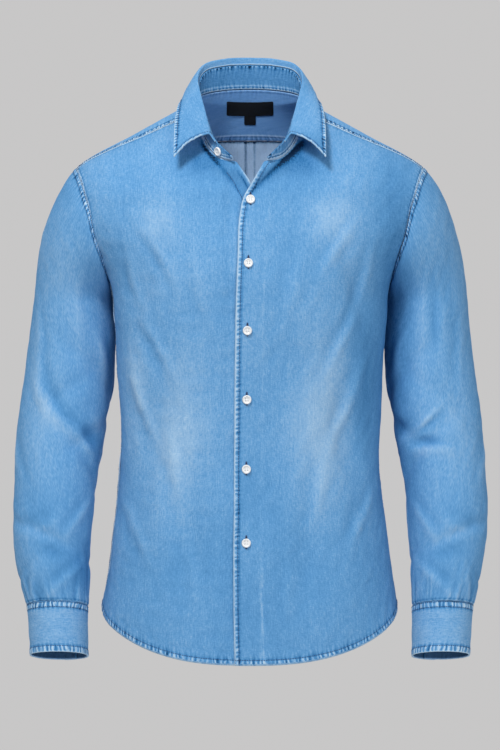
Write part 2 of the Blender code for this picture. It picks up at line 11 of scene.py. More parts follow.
import bpy
import numpy as np
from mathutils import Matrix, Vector


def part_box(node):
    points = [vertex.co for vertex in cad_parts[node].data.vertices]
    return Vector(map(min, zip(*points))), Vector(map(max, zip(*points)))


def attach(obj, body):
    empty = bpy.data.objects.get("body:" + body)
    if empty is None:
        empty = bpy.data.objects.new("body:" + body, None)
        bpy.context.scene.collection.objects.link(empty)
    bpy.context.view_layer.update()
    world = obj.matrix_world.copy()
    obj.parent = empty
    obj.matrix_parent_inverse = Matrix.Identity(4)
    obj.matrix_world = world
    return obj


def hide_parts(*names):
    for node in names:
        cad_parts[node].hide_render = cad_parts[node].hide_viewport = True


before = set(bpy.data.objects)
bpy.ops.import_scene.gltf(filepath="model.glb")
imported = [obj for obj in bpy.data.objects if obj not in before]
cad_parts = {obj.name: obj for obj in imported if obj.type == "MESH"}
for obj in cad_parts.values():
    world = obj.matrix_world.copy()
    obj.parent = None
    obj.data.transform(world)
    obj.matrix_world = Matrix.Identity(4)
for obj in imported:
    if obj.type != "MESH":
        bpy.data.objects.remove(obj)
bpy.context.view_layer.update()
SCENE = bpy.context.scene

# %% [markdown]
# ## The camera
# A long lens from the front keeps the shirt's sides nearly straight, as shops show clothes.
# The view's height and the camera's distance are chosen first, and the lens follows from them:
# its focal length is to half the sensor as the distance is to half the view.

# %% Camera
VIEW_CENTRE_Z = -0.369
VIEW_HALF_HEIGHT = 0.50175
CAMERA_DISTANCE = 3.2
SENSOR = 36.0


def add_camera():
    data = bpy.data.cameras.new("front_view")
    data.sensor_fit = "VERTICAL"
    data.sensor_height = SENSOR
    data.sensor_width = SENSOR
    data.lens = SENSOR / 2 * CAMERA_DISTANCE / VIEW_HALF_HEIGHT
    camera = bpy.data.objects.new("front_view", data)
    camera.location = (0.0, -CAMERA_DISTANCE, VIEW_CENTRE_Z)
    camera.rotation_euler = (math.radians(90), 0.0, 0.0)
    SCENE.collection.objects.link(camera)
    SCENE.camera = camera
    return data.lens


print("lens in millimetres:", round(add_camera(), 1))

# %% [markdown]
# ## The studio
# The shirt hangs in front of a plain pale grey ground. The world's own colour makes that
# ground, so it is the same from every side. Only the camera sees it: the light the world
# gives is dimmer, so the lamps model the folds and the collar casts a shadow. There are
# three large soft lamps: the main one from above on the wearer's right, a weaker one across
# from it, and one behind that lights the shoulders' edges. The floor lies below the hem.

# %% Floor, ground and lamps
FLOOR_Z = -1.25
FLOOR_RADIUS = 2.0
FLOOR_CORNERS = 64
FLOOR_GREY = (0.62, 0.62, 0.63, 1.0)
GROUND_GREY = (0.575, 0.570, 0.570, 1.0)
SOFT_LIGHT = (0.36, 0.38, 0.40, 1.0)
LAMPS = (
    # name, place, power, size
    ("key", (-0.85, -1.90, 2.00), 70.0, 0.8),
    ("fill", (1.5, -2.8, -0.5), 28.0, 1.8),
    ("back", (0.5, 2.2, 1.4), 26.0, 1.4),
)
AIM = (0.0, 0.0, -0.35)


def plain_material(name, colour, roughness):
    """A new material with one Principled shader, its colour and roughness on the sockets."""
    made = bpy.data.materials.new(name)
    made.use_nodes = True
    shader = made.node_tree.nodes["Principled BSDF"]
    shader.inputs["Base Color"].default_value = colour
    shader.inputs["Roughness"].default_value = roughness
    return made


def add_studio():
    world = bpy.data.worlds.new("pale_ground")
    world.use_nodes = True
    nodes, links = world.node_tree.nodes, world.node_tree.links
    nodes["Background"].inputs["Color"].default_value = GROUND_GREY
    soft = nodes.new("ShaderNodeBackground")
    soft.inputs["Color"].default_value = SOFT_LIGHT
    ray = nodes.new("ShaderNodeLightPath")
    mix = nodes.new("ShaderNodeMixShader")
    links.new(ray.outputs["Is Camera Ray"], mix.inputs[0])
    links.new(soft.outputs[0], mix.inputs[1])
    links.new(nodes["Background"].outputs[0], mix.inputs[2])
    links.new(mix.outputs[0], nodes["World Output"].inputs["Surface"])
    SCENE.world = world
    SCENE.view_settings.view_transform = "Standard"
    turn = np.linspace(0.0, 2 * math.pi, FLOOR_CORNERS, endpoint=False)
    rim = np.stack([np.cos(turn), np.sin(turn), 0 * turn], -1) * FLOOR_RADIUS
    mesh = bpy.data.meshes.new("floor")
    mesh.from_pydata((rim + [0, 0, FLOOR_Z]).tolist(), [], [list(range(len(rim)))])
    mesh.materials.append(plain_material("pale_floor", FLOOR_GREY, 0.9))
    floor = bpy.data.objects.new("floor", mesh)
    SCENE.collection.objects.link(floor)


def add_lamps():
    for name, place, power, size in LAMPS:
        data = bpy.data.lights.new(name, "AREA")
        data.energy = power
        data.size = size
        lamp = bpy.data.objects.new(name, data)
        lamp.location = place
        lamp.rotation_euler = (Vector(AIM) - Vector(place)).to_track_quat("-Z", "Y").to_euler()
        SCENE.collection.objects.link(lamp)


add_studio()
add_lamps()
print("lamps:", [lamp[0] for lamp in LAMPS])

# %% [markdown]
# ## The body's form
# All the pieces lie on one form, so they meet along their seams. A level cut through the
# torso is a superellipse, an oval that can be a little square, and a short table gives its
# half width and its depths at each height. A smooth curve runs through the table's rows.
# Two more shapes come back all through the lesson: a soft step, and a bell for a soft line.

# %% Levels of the body
BODY = np.array([
    # z      width   front   back   square
    [0.022, 0.0660, 0.015, 0.072, 2.0],
    [0.000, 0.0700, 0.026, 0.081, 2.0],
    [-0.046, 0.1525, 0.063, 0.100, 2.0],
    [-0.092, 0.2310, 0.093, 0.114, 2.0],
    [-0.108, 0.2410, 0.102, 0.117, 2.03],
    [-0.130, 0.2435, 0.113, 0.121, 2.1],
    [-0.150, 0.2395, 0.118, 0.124, 2.15],
    [-0.170, 0.2320, 0.123, 0.126, 2.2],
    [-0.190, 0.2210, 0.127, 0.128, 2.25],
    [-0.210, 0.2065, 0.130, 0.129, 2.3],
    [-0.240, 0.1895, 0.133, 0.129, 2.35],
    [-0.300, 0.1812, 0.130, 0.122, 2.4],
    [-0.360, 0.1770, 0.124, 0.111, 2.35],
    [-0.456, 0.1726, 0.119, 0.106, 2.3],
    [-0.546, 0.1780, 0.123, 0.118, 2.3],
    [-0.603, 0.1854, 0.127, 0.127, 2.35],
    [-0.676, 0.1972, 0.132, 0.135, 2.4],
    [-0.770, 0.2060, 0.136, 0.139, 2.4],
])


def smoothstep(x):
    """0 below 0, 1 above 1, and 3x^2 - 2x^3 between."""
    x = np.clip(x, 0.0, 1.0)
    return x * x * (3.0 - 2.0 * x)


def bell(x, width):
    """1 at x = 0, falling away on both sides: exp(-(x / width)^2)."""
    return np.exp(-(x / width) ** 2)


def cubic(f, start, leave, end, arrive):
    """The curve from start to end as f goes from 0 to 1, with a slope at each end."""
    return ((2 * f**3 - 3 * f**2 + 1) * start + (f**3 - 2 * f**2 + f) * leave
            + (3 * f**2 - 2 * f**3) * end + (f**3 - f**2) * arrive)


def through(keys, values, at):
    """A smooth curve through a table's rows: cubic pieces that share their slopes."""
    keys, values = np.asarray(keys, float), np.asarray(values, float)
    if keys[0] > keys[-1]:
        keys, values = keys[::-1], values[::-1]
    at = np.clip(np.asarray(at, float), keys[0], keys[-1])
    slopes = np.gradient(values, keys)
    row = np.clip(np.searchsorted(keys, at) - 1, 0, len(keys) - 2)
    span = keys[row + 1] - keys[row]
    return cubic((at - keys[row]) / span, values[row], span * slopes[row],
                 values[row + 1], span * slopes[row + 1])


def section(z):
    """Half width, front depth, back depth and squareness of the body at a height."""
    width = np.interp(-z, -BODY[:, 0], BODY[:, 1])
    width = np.where(z < BODY[2, 0], through(BODY[2:, 0], BODY[2:, 1], z), width)
    return (width, through(BODY[:, 0], BODY[:, 2], z), through(BODY[:, 0], BODY[:, 3], z),
            np.interp(-z, -BODY[:, 0], BODY[:, 4]))


print("half width at the waist:", section(np.array(-0.456))[0])

# %% [markdown]
# ## The largest folds
# Cloth that hangs from the chest falls into a few long, soft hollows. Each is one row of a
# table: a place, how far it runs, how much it slopes, its width and its depth. Its form is
# a bell curve along the run times a bell curve across it.

# %% Folds pressed into the body
SHOULDER_Z = -0.092
SHOULDER_FADE = 0.08          # height below the shoulder over which the folds start
BODY_FOLDS = np.array([
    # x      z       side  length  slope   width   depth
    [-0.135, -0.245, -1, 0.075, 0.35, 0.014, 0.0050],
    [0.140, -0.260, -1, 0.080, -0.30, 0.014, 0.0055],
    [-0.120, -0.430, -1, 0.090, 0.22, 0.017, 0.0045],
    [0.125, -0.455, -1, 0.100, -0.26, 0.018, 0.0050],
    [-0.080, -0.600, -1, 0.085, -0.10, 0.020, 0.0035],
    [0.075, -0.590, -1, 0.095, 0.12, 0.020, 0.0035],
    [-0.130, -0.250, 1, 0.090, 0.30, 0.016, 0.0055],
    [0.125, -0.270, 1, 0.085, -0.34, 0.016, 0.0050],
    [-0.060, -0.430, 1, 0.110, 0.14, 0.020, 0.0060],
    [0.070, -0.450, 1, 0.100, -0.18, 0.019, 0.0055],
])


def fold_depth(x, z, side):
    """Sum over the table of depth * exp(-2 run^2) * exp(-across^2)."""
    total = np.zeros_like(x)
    for fx, fz, fside, length, slope, width, depth in BODY_FOLDS:
        run = (z - fz) / length
        across = (x - fx - slope * (z - fz)) / width
        total += np.where(side == fside, depth * bell(run, math.sqrt(0.5)) * bell(across, 1.0), 0.0)
    return total


def body_point(turn, z, out=0.0):
    """A point on the body. turn: 0 at the wearer's left side, 90 in front, -90 behind.

    x = width * cos^(2/square), y = depth * sin^(2/square), then a level step outwards.
    """
    turn, z = np.broadcast_arrays(np.asarray(turn, float), np.asarray(z, float))
    width, front, back, square = section(z)
    angle = np.radians(turn)
    depth = np.where(angle >= 0, front, back)
    side = np.where(angle >= 0, -1.0, 1.0)
    across = np.sign(np.cos(angle)) * np.abs(np.cos(angle)) ** (2 / square)
    deep = np.abs(np.sin(angle)) ** (2 / square)
    x, y = width * across, side * depth * deep
    normal_x, normal_y = across / width, side * deep / depth
    size = np.hypot(normal_x, normal_y)
    hollow = fold_depth(x, z, side) * smoothstep((SHOULDER_Z - z) / SHOULDER_FADE)
    shift = out - hollow * smoothstep(deep * 3)
    return np.stack([x + shift * normal_x / size, y + shift * normal_y / size, z], -1)


def turn_of_x(x, z, front=True):
    """The turn at which a level cut reaches x: the inverse of body_point's cosine."""
    width, _, _, square = section(np.asarray(z, float))
    ratio = np.clip(np.abs(x) / width, 0, 1) ** (square / 2)
    turn = np.degrees(np.arccos(np.sign(x) * ratio))
    return turn if front else -turn


print("middle of the chest:", body_point(90.0, -0.25).round(4))

# %% [markdown]
# ## The neckline, the armhole and the hem
# Three curves on the form are where pieces meet or end. Each is a formula in one angle: the
# neckline is an oval pulled down in front, the armhole is an upright oval on the side of the
# body, and the hem rises from the tails to the side seams.

# %% Curves on the form
NECK_HALF_WIDTH = 0.070
NECK_FRONT_DROP = 0.092
NECK_BACK_RISE = 0.021
NECK_CORNER_X = 0.021
NECK_FULL = 0.55
NECK_DROP_POWER = 0.95
NECK_CORNER = math.degrees(math.acos((NECK_CORNER_X / NECK_HALF_WIDTH) ** (1 / NECK_FULL)))
ARMHOLE_MID_Z = -0.166
ARMHOLE_HALF_HEIGHT = 0.074
ARMHOLE_HALF_DEPTH = 0.062
SIDE_HEM_Z = -0.676
FRONT_TAIL = 0.066
BACK_TAIL = 0.082
TAIL_ROUND = 0.69
LAPEL_RISE = 0.016
LAPEL_LOW_Z = -0.150          # where the front edges begin to swing out
LAPEL_HEIGHT = 0.055
LAPEL_REACH = 0.060
LAPEL_SOFT = 0.050


def neckline(psi):
    """Turn and height on the neckline. psi: -90 middle of the back, 0 high shoulder, 90 front."""
    psi = np.radians(np.asarray(psi, float))
    x = NECK_HALF_WIDTH * np.cos(psi) ** np.where(psi >= 0, NECK_FULL, 1.0)
    drop = np.abs(np.sin(psi))
    z = np.where(psi >= 0, -NECK_FRONT_DROP * drop**NECK_DROP_POWER, NECK_BACK_RISE * drop)
    front = turn_of_x(x, z)
    return np.where(psi >= 0, front, -front), z


def armhole(phi):
    """Turn and height on the armhole. phi: 0 at the shoulder point, 90 in front, 180 underarm."""
    phi = np.radians(np.asarray(phi, float))
    z = ARMHOLE_MID_Z + ARMHOLE_HALF_HEIGHT * np.cos(phi)
    y = ARMHOLE_HALF_DEPTH * np.sin(phi)
    _, front, back, square = section(z)
    depth = np.where(y >= 0, front, back)
    turn = np.degrees(np.arcsin((np.abs(y) / depth) ** (square / 2)))
    return np.where(y >= 0, turn, -turn), z


def hem_z(turn, tail):
    """The hem drops from the side seams by tail * |sin turn|^(2 * roundness)."""
    return SIDE_HEM_Z - tail * np.abs(np.sin(np.radians(turn))) ** (2 * TAIL_ROUND)


def lapel(x, z):
    """How far the open front edges stand out below the collar."""
    open_up = smoothstep((z - LAPEL_LOW_Z) / LAPEL_HEIGHT) * (z < 0)
    return LAPEL_RISE * smoothstep((LAPEL_REACH * open_up - x) / LAPEL_SOFT) * open_up


print("the neckline's front ends turn", round(NECK_CORNER, 1), "degrees")

# %% [markdown]
# ## How far from a seam
# Puckers, raised bands and stitches all follow a seam at a set distance. On a grid of points
# that distance is the running length of the grid lines that leave the seam, so one array
# holds it for every point of the piece. A second array holds the length along the seam.

# %% Lengths on a grid of points
def steps(points, axis):
    """The running length of a grid's lines along one axis, starting at 0."""
    length = np.linalg.norm(np.diff(points, axis=axis), axis=-1)
    start = np.zeros_like(np.take(length, [0], axis))
    return np.concatenate([start, np.cumsum(length, axis)], axis)


def unit(way):
    """Directions made one long."""
    return way / np.maximum(np.linalg.norm(way, axis=-1, keepdims=True), 1e-12)


def from_border(points, border):
    """Distance from one border, and length along it, at every point of a grid.

    border is top, bottom (first and last row), left or right (first and last column).
    """
    axis = 0 if border in ("top", "bottom") else 1
    away = steps(points, axis)
    if border in ("bottom", "right"):
        away = np.take(away, [-1], axis) - away
    edge = 0 if border in ("top", "left") else -1
    along = np.take(steps(points, 1 - axis), [edge], axis)
    return away, along * np.ones_like(away)


def normals(points, closed=False):
    """Unit outward directions: the cross product of the grid's two running directions."""
    if closed:
        points = np.concatenate([points[:, -1:], points, points[:, :1]], 1)
    way = np.cross(np.gradient(points, axis=1), np.gradient(points, axis=0))
    way = way[:, 1:-1] if closed else way
    return unit(way)


def dense(start, end, count, crowd=0.0):
    """Numbers from start to end, closer together at both ends as crowd grows to 1."""
    f = np.linspace(0.0, 1.0, count)
    eased = f - crowd * np.sin(2 * math.pi * f) / (2 * math.pi)
    return start + (end - start) * eased


print("a quarter metre in 5 crowded steps:", dense(0, 0.25, 6, 0.6).round(3))

# %% [markdown]
# ## Puckers and ripples
# Washed denim shrinks along its stitching, and the cloth between the rows of stitches stands
# up in short slanting puckers. They look alike but never the same, so the wave along the seam
# has its phase and its height bent by slower waves. The same idea, with a few crossing waves
# and seeded angles, gives the shallow ripples that lie all over a worn cloth.

# %% Waves that never quite repeat
WAVES = 4
RIPPLES = 9


def wobble(along, length, seed):
    """A smooth wandering number from about -1 to 1: four sines with unrelated lengths."""
    pick = np.random.default_rng(seed)
    total = np.zeros_like(along)
    for _ in range(WAVES):
        wave = along * 2 * math.pi / (length * pick.uniform(0.6, 1.7))
        total += np.sin(wave + pick.uniform(0, 6.28))
    return total / 2.2


def pucker(away, along, seed, pitch=0.0078, slant=0.5):
    """Ridges across a seam, from -1 to 1, with uneven spacing, height and slant."""
    phase = (along + slant * away) / pitch + 0.55 * wobble(along, 0.028, seed)
    size = 0.62 + 0.38 * wobble(along, 0.019, seed + 1)
    return np.sin(2 * math.pi * phase) * size


def ripples(u, v, length, seed):
    """Shallow waves in every direction: a sum of seeded sines of like lengths."""
    pick = np.random.default_rng(seed)
    total = np.zeros(np.broadcast(u, v).shape)
    for _ in range(RIPPLES):
        angle, phase = pick.uniform(0, math.pi), pick.uniform(0, 2 * math.pi)
        wave = 2 * math.pi / (length * pick.uniform(0.7, 1.5))
        total += np.sin(wave * (u * math.cos(angle) + v * math.sin(angle)) + phase)
    return total / math.sqrt(RIPPLES)


print("puckers:", pucker(0.004, np.linspace(0, 0.03, 6), 1).round(2))

# %% [markdown]
# ## A cloth wall from a grid
# Every piece of cloth is a thin closed wall. Its outer face is a grid of points, its inner
# face is the same grid stepped back by the cloth's thickness, and strips join the two along
# the borders. A tube such as a sleeve joins its last column to its first instead. Numbering
# the points as a grid gives all the faces at once, as whole arrays of point numbers.

# %% The faces of a wall
def grid_index(rows, cols, ring_rows=False, ring_cols=False):
    """The numbers of a grid's points, with the first line again where the grid is a ring."""
    index = np.arange(rows * cols).reshape(rows, cols)
    index = np.concatenate([index, index[:1]]) if ring_rows else index
    return np.concatenate([index, index[:, :1]], 1) if ring_cols else index


def quads(index, turned=False):
    """The four corners of each square of a grid, the other way round where it is turned."""
    corners = [index[:-1, :-1], index[:-1, 1:], index[1:, 1:], index[1:, :-1]]
    corners = corners[:1] + corners[:0:-1] if turned else corners
    return np.stack(corners, -1).reshape(-1, 4)


def wall_faces(rows, cols, closed):
    """Quads of the outer grid, the inner grid turned over, and the strips round the borders."""
    index = grid_index(rows, cols, ring_cols=closed)
    outer = quads(index)
    lines = [index[0], index[-1][::-1]]
    if not closed:
        lines += [index[::-1, 0], index[:, -1]]
    under = rows * cols
    rims = [np.stack([a[1:], a[:-1], a[:-1] + under, a[1:] + under], -1) for a in lines]
    return outer, outer[:, ::-1] + under, np.concatenate(rims)


print("outer, inner and rim faces of a small tube:", [len(part) for part in wall_faces(3, 4, True)])

# %% [markdown]
# The wall carries a UV map in metres, so that the weave's size is right, and one number per
# point that sets the blue's tone: wear makes ridges and edges pale, and painted shade darkens
# hollows, the folds below the collar and rims that lie under other pieces. A second attribute,
# seam, holds the place along and across the nearest seam and how strong it is, so the
# material can draw puckers there that are finer than the grid. They are faint inside.

# %% Build a wall
CLOTH = 0.0012
BAND = 0.0020
INNER_MARKS = 0.25            # strength of the puckers on the inner face
CLOTHS = {}


def new_mesh(name, points, faces):
    """A smooth mesh from whole arrays of points and of faces with equal numbers of corners."""
    mesh = bpy.data.meshes.new(name)
    mesh.vertices.add(len(points))
    mesh.vertices.foreach_set("co", np.asarray(points, np.float32).ravel())
    mesh.loops.add(faces.size)
    mesh.loops.foreach_set("vertex_index", faces.ravel().astype(np.int32))
    mesh.polygons.add(len(faces))
    starts = np.arange(0, faces.size, faces.shape[1], dtype=np.int32)
    mesh.polygons.foreach_set("loop_start", starts)
    mesh.update(calc_edges=True)
    mesh.shade_smooth()
    return mesh


def add_object(name, mesh, paints):
    for paint in paints:
        mesh.materials.append(paint)
    item = bpy.data.objects.new(name, mesh)
    SCENE.collection.objects.link(item)
    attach(item, "root")
    return item


def cloth_wall(name, piece, paints, wall=CLOTH):
    """The wall in place of a frame's node: outer points, and outer - wall * normal inside."""
    points, closed = piece["points"], piece["closed"]
    rows, cols = points.shape[:2]
    way = normals(points, closed) * piece["facing"]
    outer, inner, rims = wall_faces(rows, cols, closed)
    both = np.concatenate([points.reshape(-1, 3), (points - wall * way).reshape(-1, 3)])
    faces = np.concatenate([outer, inner, rims])
    if piece["facing"] < 0:
        faces = faces[:, ::-1]
    mesh = new_mesh(name, both, faces)
    inside = np.zeros(len(faces), np.int32)
    inside[len(outer):len(outer) + len(inner)] = len(paints) - 1
    mesh.polygons.foreach_set("material_index", inside)
    inner_wash = piece.get("inner_wash", piece["wash"])
    wear_and_shade_amount = np.concatenate([piece["wash"].ravel(), inner_wash.ravel()]).astype(np.float32)
    # This attribute holds wear and painted shade: pale rubbed ridges and rims, and painted shade in
    # hollows, folds and tucked rims.
    mesh.attributes.new("wash", "FLOAT", "POINT").data.foreach_set("value", wear_and_shade_amount)
    seam = piece["seam"].reshape(-1, 3)
    inner_seam = seam * [1.0, 1.0, piece.get("inner_marks", INNER_MARKS)]
    seam = np.concatenate([seam, inner_seam]).astype(np.float32)
    mesh.attributes.new("seam", "FLOAT_VECTOR", "POINT").data.foreach_set("vector", seam.ravel())
    flat = np.tile(piece["flat"].reshape(-1, 2), (2, 1))[faces]
    around = flat[..., 0].max() * (1 + 1 / cols)
    wrapped = np.ptp(flat[..., 0], axis=1, keepdims=True) > around / 2
    flat[..., 0] += around * (wrapped & (flat[..., 0] < around / 2))
    mesh.uv_layers.new(name="cloth").data.foreach_set("uv", flat.astype(np.float32).ravel())
    item = CLOTHS[name] = add_object(name, mesh, paints)
    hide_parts(name)
    return item


print("walls are", 1000 * CLOTH, "or", 1000 * BAND, "mm thick")

# %% [markdown]
# While a piece is made it is a small set of arrays: its points, how far each is to be raised,
# its wear and painted shade, where its seams are and how its grain runs. The folds and the
# seams add to them one after the other, and the points move only once, at the end.

# %% The working arrays of a piece
GRAIN_TURN_Z = -0.17          # below this height the grain follows the rows


def facing(points, closed, centre):
    """1 where a grid's normals point away from a centre, and -1 where they point to it."""
    outwards = (normals(points, closed) * (points - np.asarray(centre))).sum(-1)
    return 1.0 if outwards.mean() > 0 else -1.0


def body_flat(points):
    """Where the grain runs on a front or the back: a number across it, then one down it.

    Above the underarm the first number is x itself, because the grain hangs straight down.
    Below it, it is the length along the row, which follows the cloth round to the side.
    """
    x, z = points[..., 0], points[..., 2]
    row = steps(points, 1)
    middle = np.take_along_axis(row, np.abs(x).argmin(1)[:, None], 1)
    below = smoothstep((GRAIN_TURN_Z - z) / 0.08)
    return np.stack([x + below * (row - middle - x), steps(points, 0) - z[0]], -1)


def cross_flat(points):
    """The grain along a band, such as a yoke, collar or cuff, whose rows run its length."""
    return np.stack([steps(points, 0), steps(points, 1)], -1)


def piece_from(points, centre, closed=False, flat=None):
    """The working arrays of one piece: its points, their height, their wear and painted shade, and its
    flat map.
    """
    if flat is None:
        flat = np.stack([steps(points, 1), steps(points, 0)], -1)
    height, wash = np.zeros((2, *points.shape[:2]))
    return {"points": points, "closed": closed, "facing": facing(points, closed, centre),
            "height": height, "wash": wash, "seam": np.zeros(points.shape), "flat": flat}


def raise_cloth(piece):
    """Move the points along their normals by the height that the seams and folds gave them."""
    way = normals(piece["points"], piece["closed"]) * piece["facing"]
    piece["points"] = piece["points"] + way * piece["height"][..., None]
    return piece


chest = body_point([80.0, 70.0, 60.0], [[-0.20], [-0.25], [-0.30]])
print("a patch of the chest faces", piece_from(chest, (0.0, 0.0, -0.25))["facing"])

# %% [markdown]
# ## Edges and seams
# A finished edge is turned under and stitched, so it is thicker than the cloth and its stitch
# line pulls it into a row of puckers. A felled seam, the strong seam of work clothes, is a
# flat band with a row of stitches on each side. Both are profiles across the seam times the
# pucker wave along it. The same wave that lifts the cloth also wears it pale: its rim is
# rubbed white, and a dark line runs just past the stitches. A rim that lies under another
# piece, or meets it in shade, gets painted shade instead of white.

# %% Put an edge or a seam on a piece
EDGE_ROUND = 0.0016
STITCH_ROUND = 0.0024         # how wide the band's slope is at its stitches
GROOVE_DEPTH = 0.00035
GROOVE_WIDTH = 0.0011
SEAM_SLANT = 0.12
DARK_LINE = 0.0010            # how far past the stitches the dark line lies
DARK_WIDTH = 0.0014


def edge_profile(away, band, rise):
    """A flat band that is rise high and band wide, rounded at the border and at its stitches."""
    inner_round = 1.0 - smoothstep((away - band + STITCH_ROUND / 2) / STITCH_ROUND)
    outer_round = np.sqrt(np.clip(away / EDGE_ROUND, 0.0, 1.0)) - 1.0
    return rise * inner_round + 0.6 * rise * outer_round * (away < band)


def sew(piece, border, band, seed, rise=0.0005, wave=0.00035, wear_and_shade_amount=0.8, fade=0.012, where=1.0,
        rim_wear_and_shade=1.0, rim_width=0.0013, marks=1.0):
    """Raise a band along a border and pucker the cloth under and beyond its stitches.

    where says, from 0 to 1, how much of this each point gets, and marks how strong its puckers are.
    """
    away, along = from_border(piece["points"], border)
    wave_here = pucker(away, along, seed, slant=SEAM_SLANT)
    reach = bell(away - band * 0.9, fade * math.sqrt(0.5)) * (away > band) + (away <= band) * 1.0
    groove = -GROOVE_DEPTH * bell(away - band, GROOVE_WIDTH)
    body = edge_profile(away, band, rise) + wave * wave_here * reach + groove
    piece["height"] += where * body
    ridges = 0.5 * marks * wave_here * reach * bell(away - band * 0.6, band * 0.9)
    # A rim value above 0 rubs the rim pale with wear; below 0 it paints shade on a rim that lies under
    # or against another piece.
    light = wear_and_shade_amount * (rim_wear_and_shade * bell(away, rim_width) + ridges)
    dark = -0.60 * wear_and_shade_amount * bell(away - band - DARK_LINE, DARK_WIDTH)
    piece["wash"] += where * (light + dark)
    fall = np.where(away < band, 1.0, 0.45 * np.exp(-np.abs(away - band) / (0.6 * fade)))
    strength = where * wear_and_shade_amount * marks * smoothstep(away / 0.0015) * fall
    here = np.stack([along + 0.37 * seed, away, strength], -1)
    piece["seam"] = np.where(strength[..., None] > piece["seam"][..., 2:], here, piece["seam"])


height = edge_profile(np.array(0.003), 0.007, 0.0005)
print("a 7 mm band, 3 mm from its edge, stands", round(1000 * float(height), 2), "mm high")

# %% [markdown]
# ## Stitches
# A stitch is one short stretch of thread that dives into the cloth at both ends, a small
# spindle with four sides. Its ten corners are written once, and every stitch of the shirt
# is that spindle turned to its seam's direction, all computed as one array. The line that
# the stitches follow lies at a set distance from a piece's border.

# %% Lines on a piece, and thread along them
STITCH_PITCH = 0.0031
STITCH_SPAN = 0.0025
THREAD_RADIUS = 0.00048
THREAD_LIFT = 0.0001
SPINDLE = np.array(
    [[-0.5, 0.0, -0.6], [0.5, 0.0, -0.6]]
    + [[end, side, up] for end in (-0.30, 0.30) for side, up in ((1, 0), (0, 1), (-1, 0), (0, -0.6))])
SPINDLE_FACES = np.array(
    [[0, 3, 2], [0, 4, 3], [0, 5, 4], [0, 2, 5], [1, 6, 7], [1, 7, 8], [1, 8, 9], [1, 9, 6]]
    + [[2, 3, 7], [2, 7, 6], [3, 4, 8], [3, 8, 7], [4, 5, 9], [4, 9, 8], [5, 2, 6], [5, 6, 9]])


def line_at(piece, border, distance, start=0.0, end=1.0):
    """The points, and outward directions, that lie a set distance from a border.

    start and end are shares of the border's length where the line begins and stops.
    """
    points = piece["points"]
    way = normals(points, piece["closed"]) * piece["facing"]
    away, along = from_border(points, border)
    grids = [points, way, away, along]
    if border in ("left", "right"):
        grids = [grid.swapaxes(0, 1) for grid in grids]
    if border in ("bottom", "right"):
        grids = [grid[::-1] for grid in grids]
    points, way, away, along = grids
    row = np.clip((away < distance).sum(0), 1, len(away) - 1)[None]
    low, high = np.take_along_axis(away, row - 1, 0), np.take_along_axis(away, row, 0)
    f = ((distance - low) / np.maximum(high - low, 1e-9))[0][:, None]

    def between(values):
        lower = np.take_along_axis(values, row[..., None] - 1, 0)[0]
        return lower + f * (np.take_along_axis(values, row[..., None], 0)[0] - lower)

    share = along[0] / along[0].max()
    keep = (share >= start) & (share <= end)
    return between(points)[keep], between(way)[keep]


def run_of_stitches(line, pitch=STITCH_PITCH, span=STITCH_SPAN, radius=THREAD_RADIUS):
    """Corners of the stitches along one line: centre + along * d + side * s + up * n."""
    points, way = line
    length = np.concatenate([[0.0], np.cumsum(np.linalg.norm(np.diff(points, axis=0), axis=-1))])
    count = max(int(length[-1] / pitch), 1)
    at = (np.arange(count) + 0.5) * length[-1] / count
    centre, ahead, behind, up = (
        np.stack([np.interp(at + shift, length, values[:, axis]) for axis in range(3)], -1)
        for shift, values in ((0, points), (span / 2, points), (-span / 2, points), (0, way)))
    along = unit(ahead - behind)
    side = np.cross(up, along)
    shape = SPINDLE * [span, radius, radius]
    corners = (along[:, None] * shape[None, :, :1] + side[:, None] * shape[None, :, 1:2]
               + up[:, None] * (shape[None, :, 2:] + THREAD_LIFT) + centre[:, None])
    return corners.reshape(-1, 3)


def add_thread(name, lines, paint, **size):
    """One mesh that holds every stitch of a list of lines."""
    corners = np.concatenate([run_of_stitches(line, **size) for line in lines])
    count = len(corners) // len(SPINDLE)
    faces = SPINDLE_FACES[None] + (np.arange(count) * len(SPINDLE))[:, None, None]
    thread = add_object(name, new_mesh(name, corners, faces.reshape(-1, 3)), [paint])
    print(name, "has", count, "stitches")

# %% [markdown]
# ## Denim
# Denim is woven from blue warp yarns and white weft yarns in fine slanting lines, and its
# warp is uneven: thick stretches of yarn, the slubs, make faint upright streaks. Washing
# bleaches it in broad patches and along every ridge and seam, where the wear number of each
# piece says so, and the same number also carries painted shade in hollows and folds. The node
# tree mixes four blues by the sum of all this, so it needs many small nodes, and a class with
# short calls keeps them readable.

# %% A helper for shader nodes
class Nodes:
    """Short calls to add shader nodes and to link them."""

    def __init__(self, name):
        self.material = bpy.data.materials.new(name)
        self.material.use_nodes = True
        self.tree = self.material.node_tree
        self.shader = self.tree.nodes["Principled BSDF"]

    def add(self, kind, **settings):
        node = self.tree.nodes.new(kind)
        for key, value in settings.items():
            setattr(node, key, value)
        return node

    def link(self, output, socket):
        self.tree.links.new(output, socket)

    def put(self, socket, value):
        if isinstance(value, bpy.types.NodeSocket):
            self.link(value, socket)
        else:
            socket.default_value = value

    def math(self, operation, first, second=0.0, third=0.0):
        node = self.add("ShaderNodeMath", operation=operation)
        for socket, value in zip(node.inputs, (first, second, third)):
            self.put(socket, value)
        return node.outputs[0]

    def noise(self, vector, scale, detail=2.0, roughness=0.5):
        node = self.add("ShaderNodeTexNoise")
        self.link(vector, node.inputs["Vector"])
        node.inputs["Scale"].default_value = scale
        node.inputs["Detail"].default_value = detail
        node.inputs["Roughness"].default_value = roughness
        return node.outputs["Fac"]

    def stretched(self, vector, scale, turn=0.0, place=(0.0, 0.0, 0.0)):
        node = self.add("ShaderNodeMapping")
        self.link(vector, node.inputs["Vector"])
        node.inputs["Scale"].default_value = scale
        node.inputs["Location"].default_value = place
        node.inputs["Rotation"].default_value = (0.0, 0.0, turn)
        return node.outputs["Vector"]


print("calls on a node tree:", [name for name in vars(Nodes) if not name.startswith("_")])
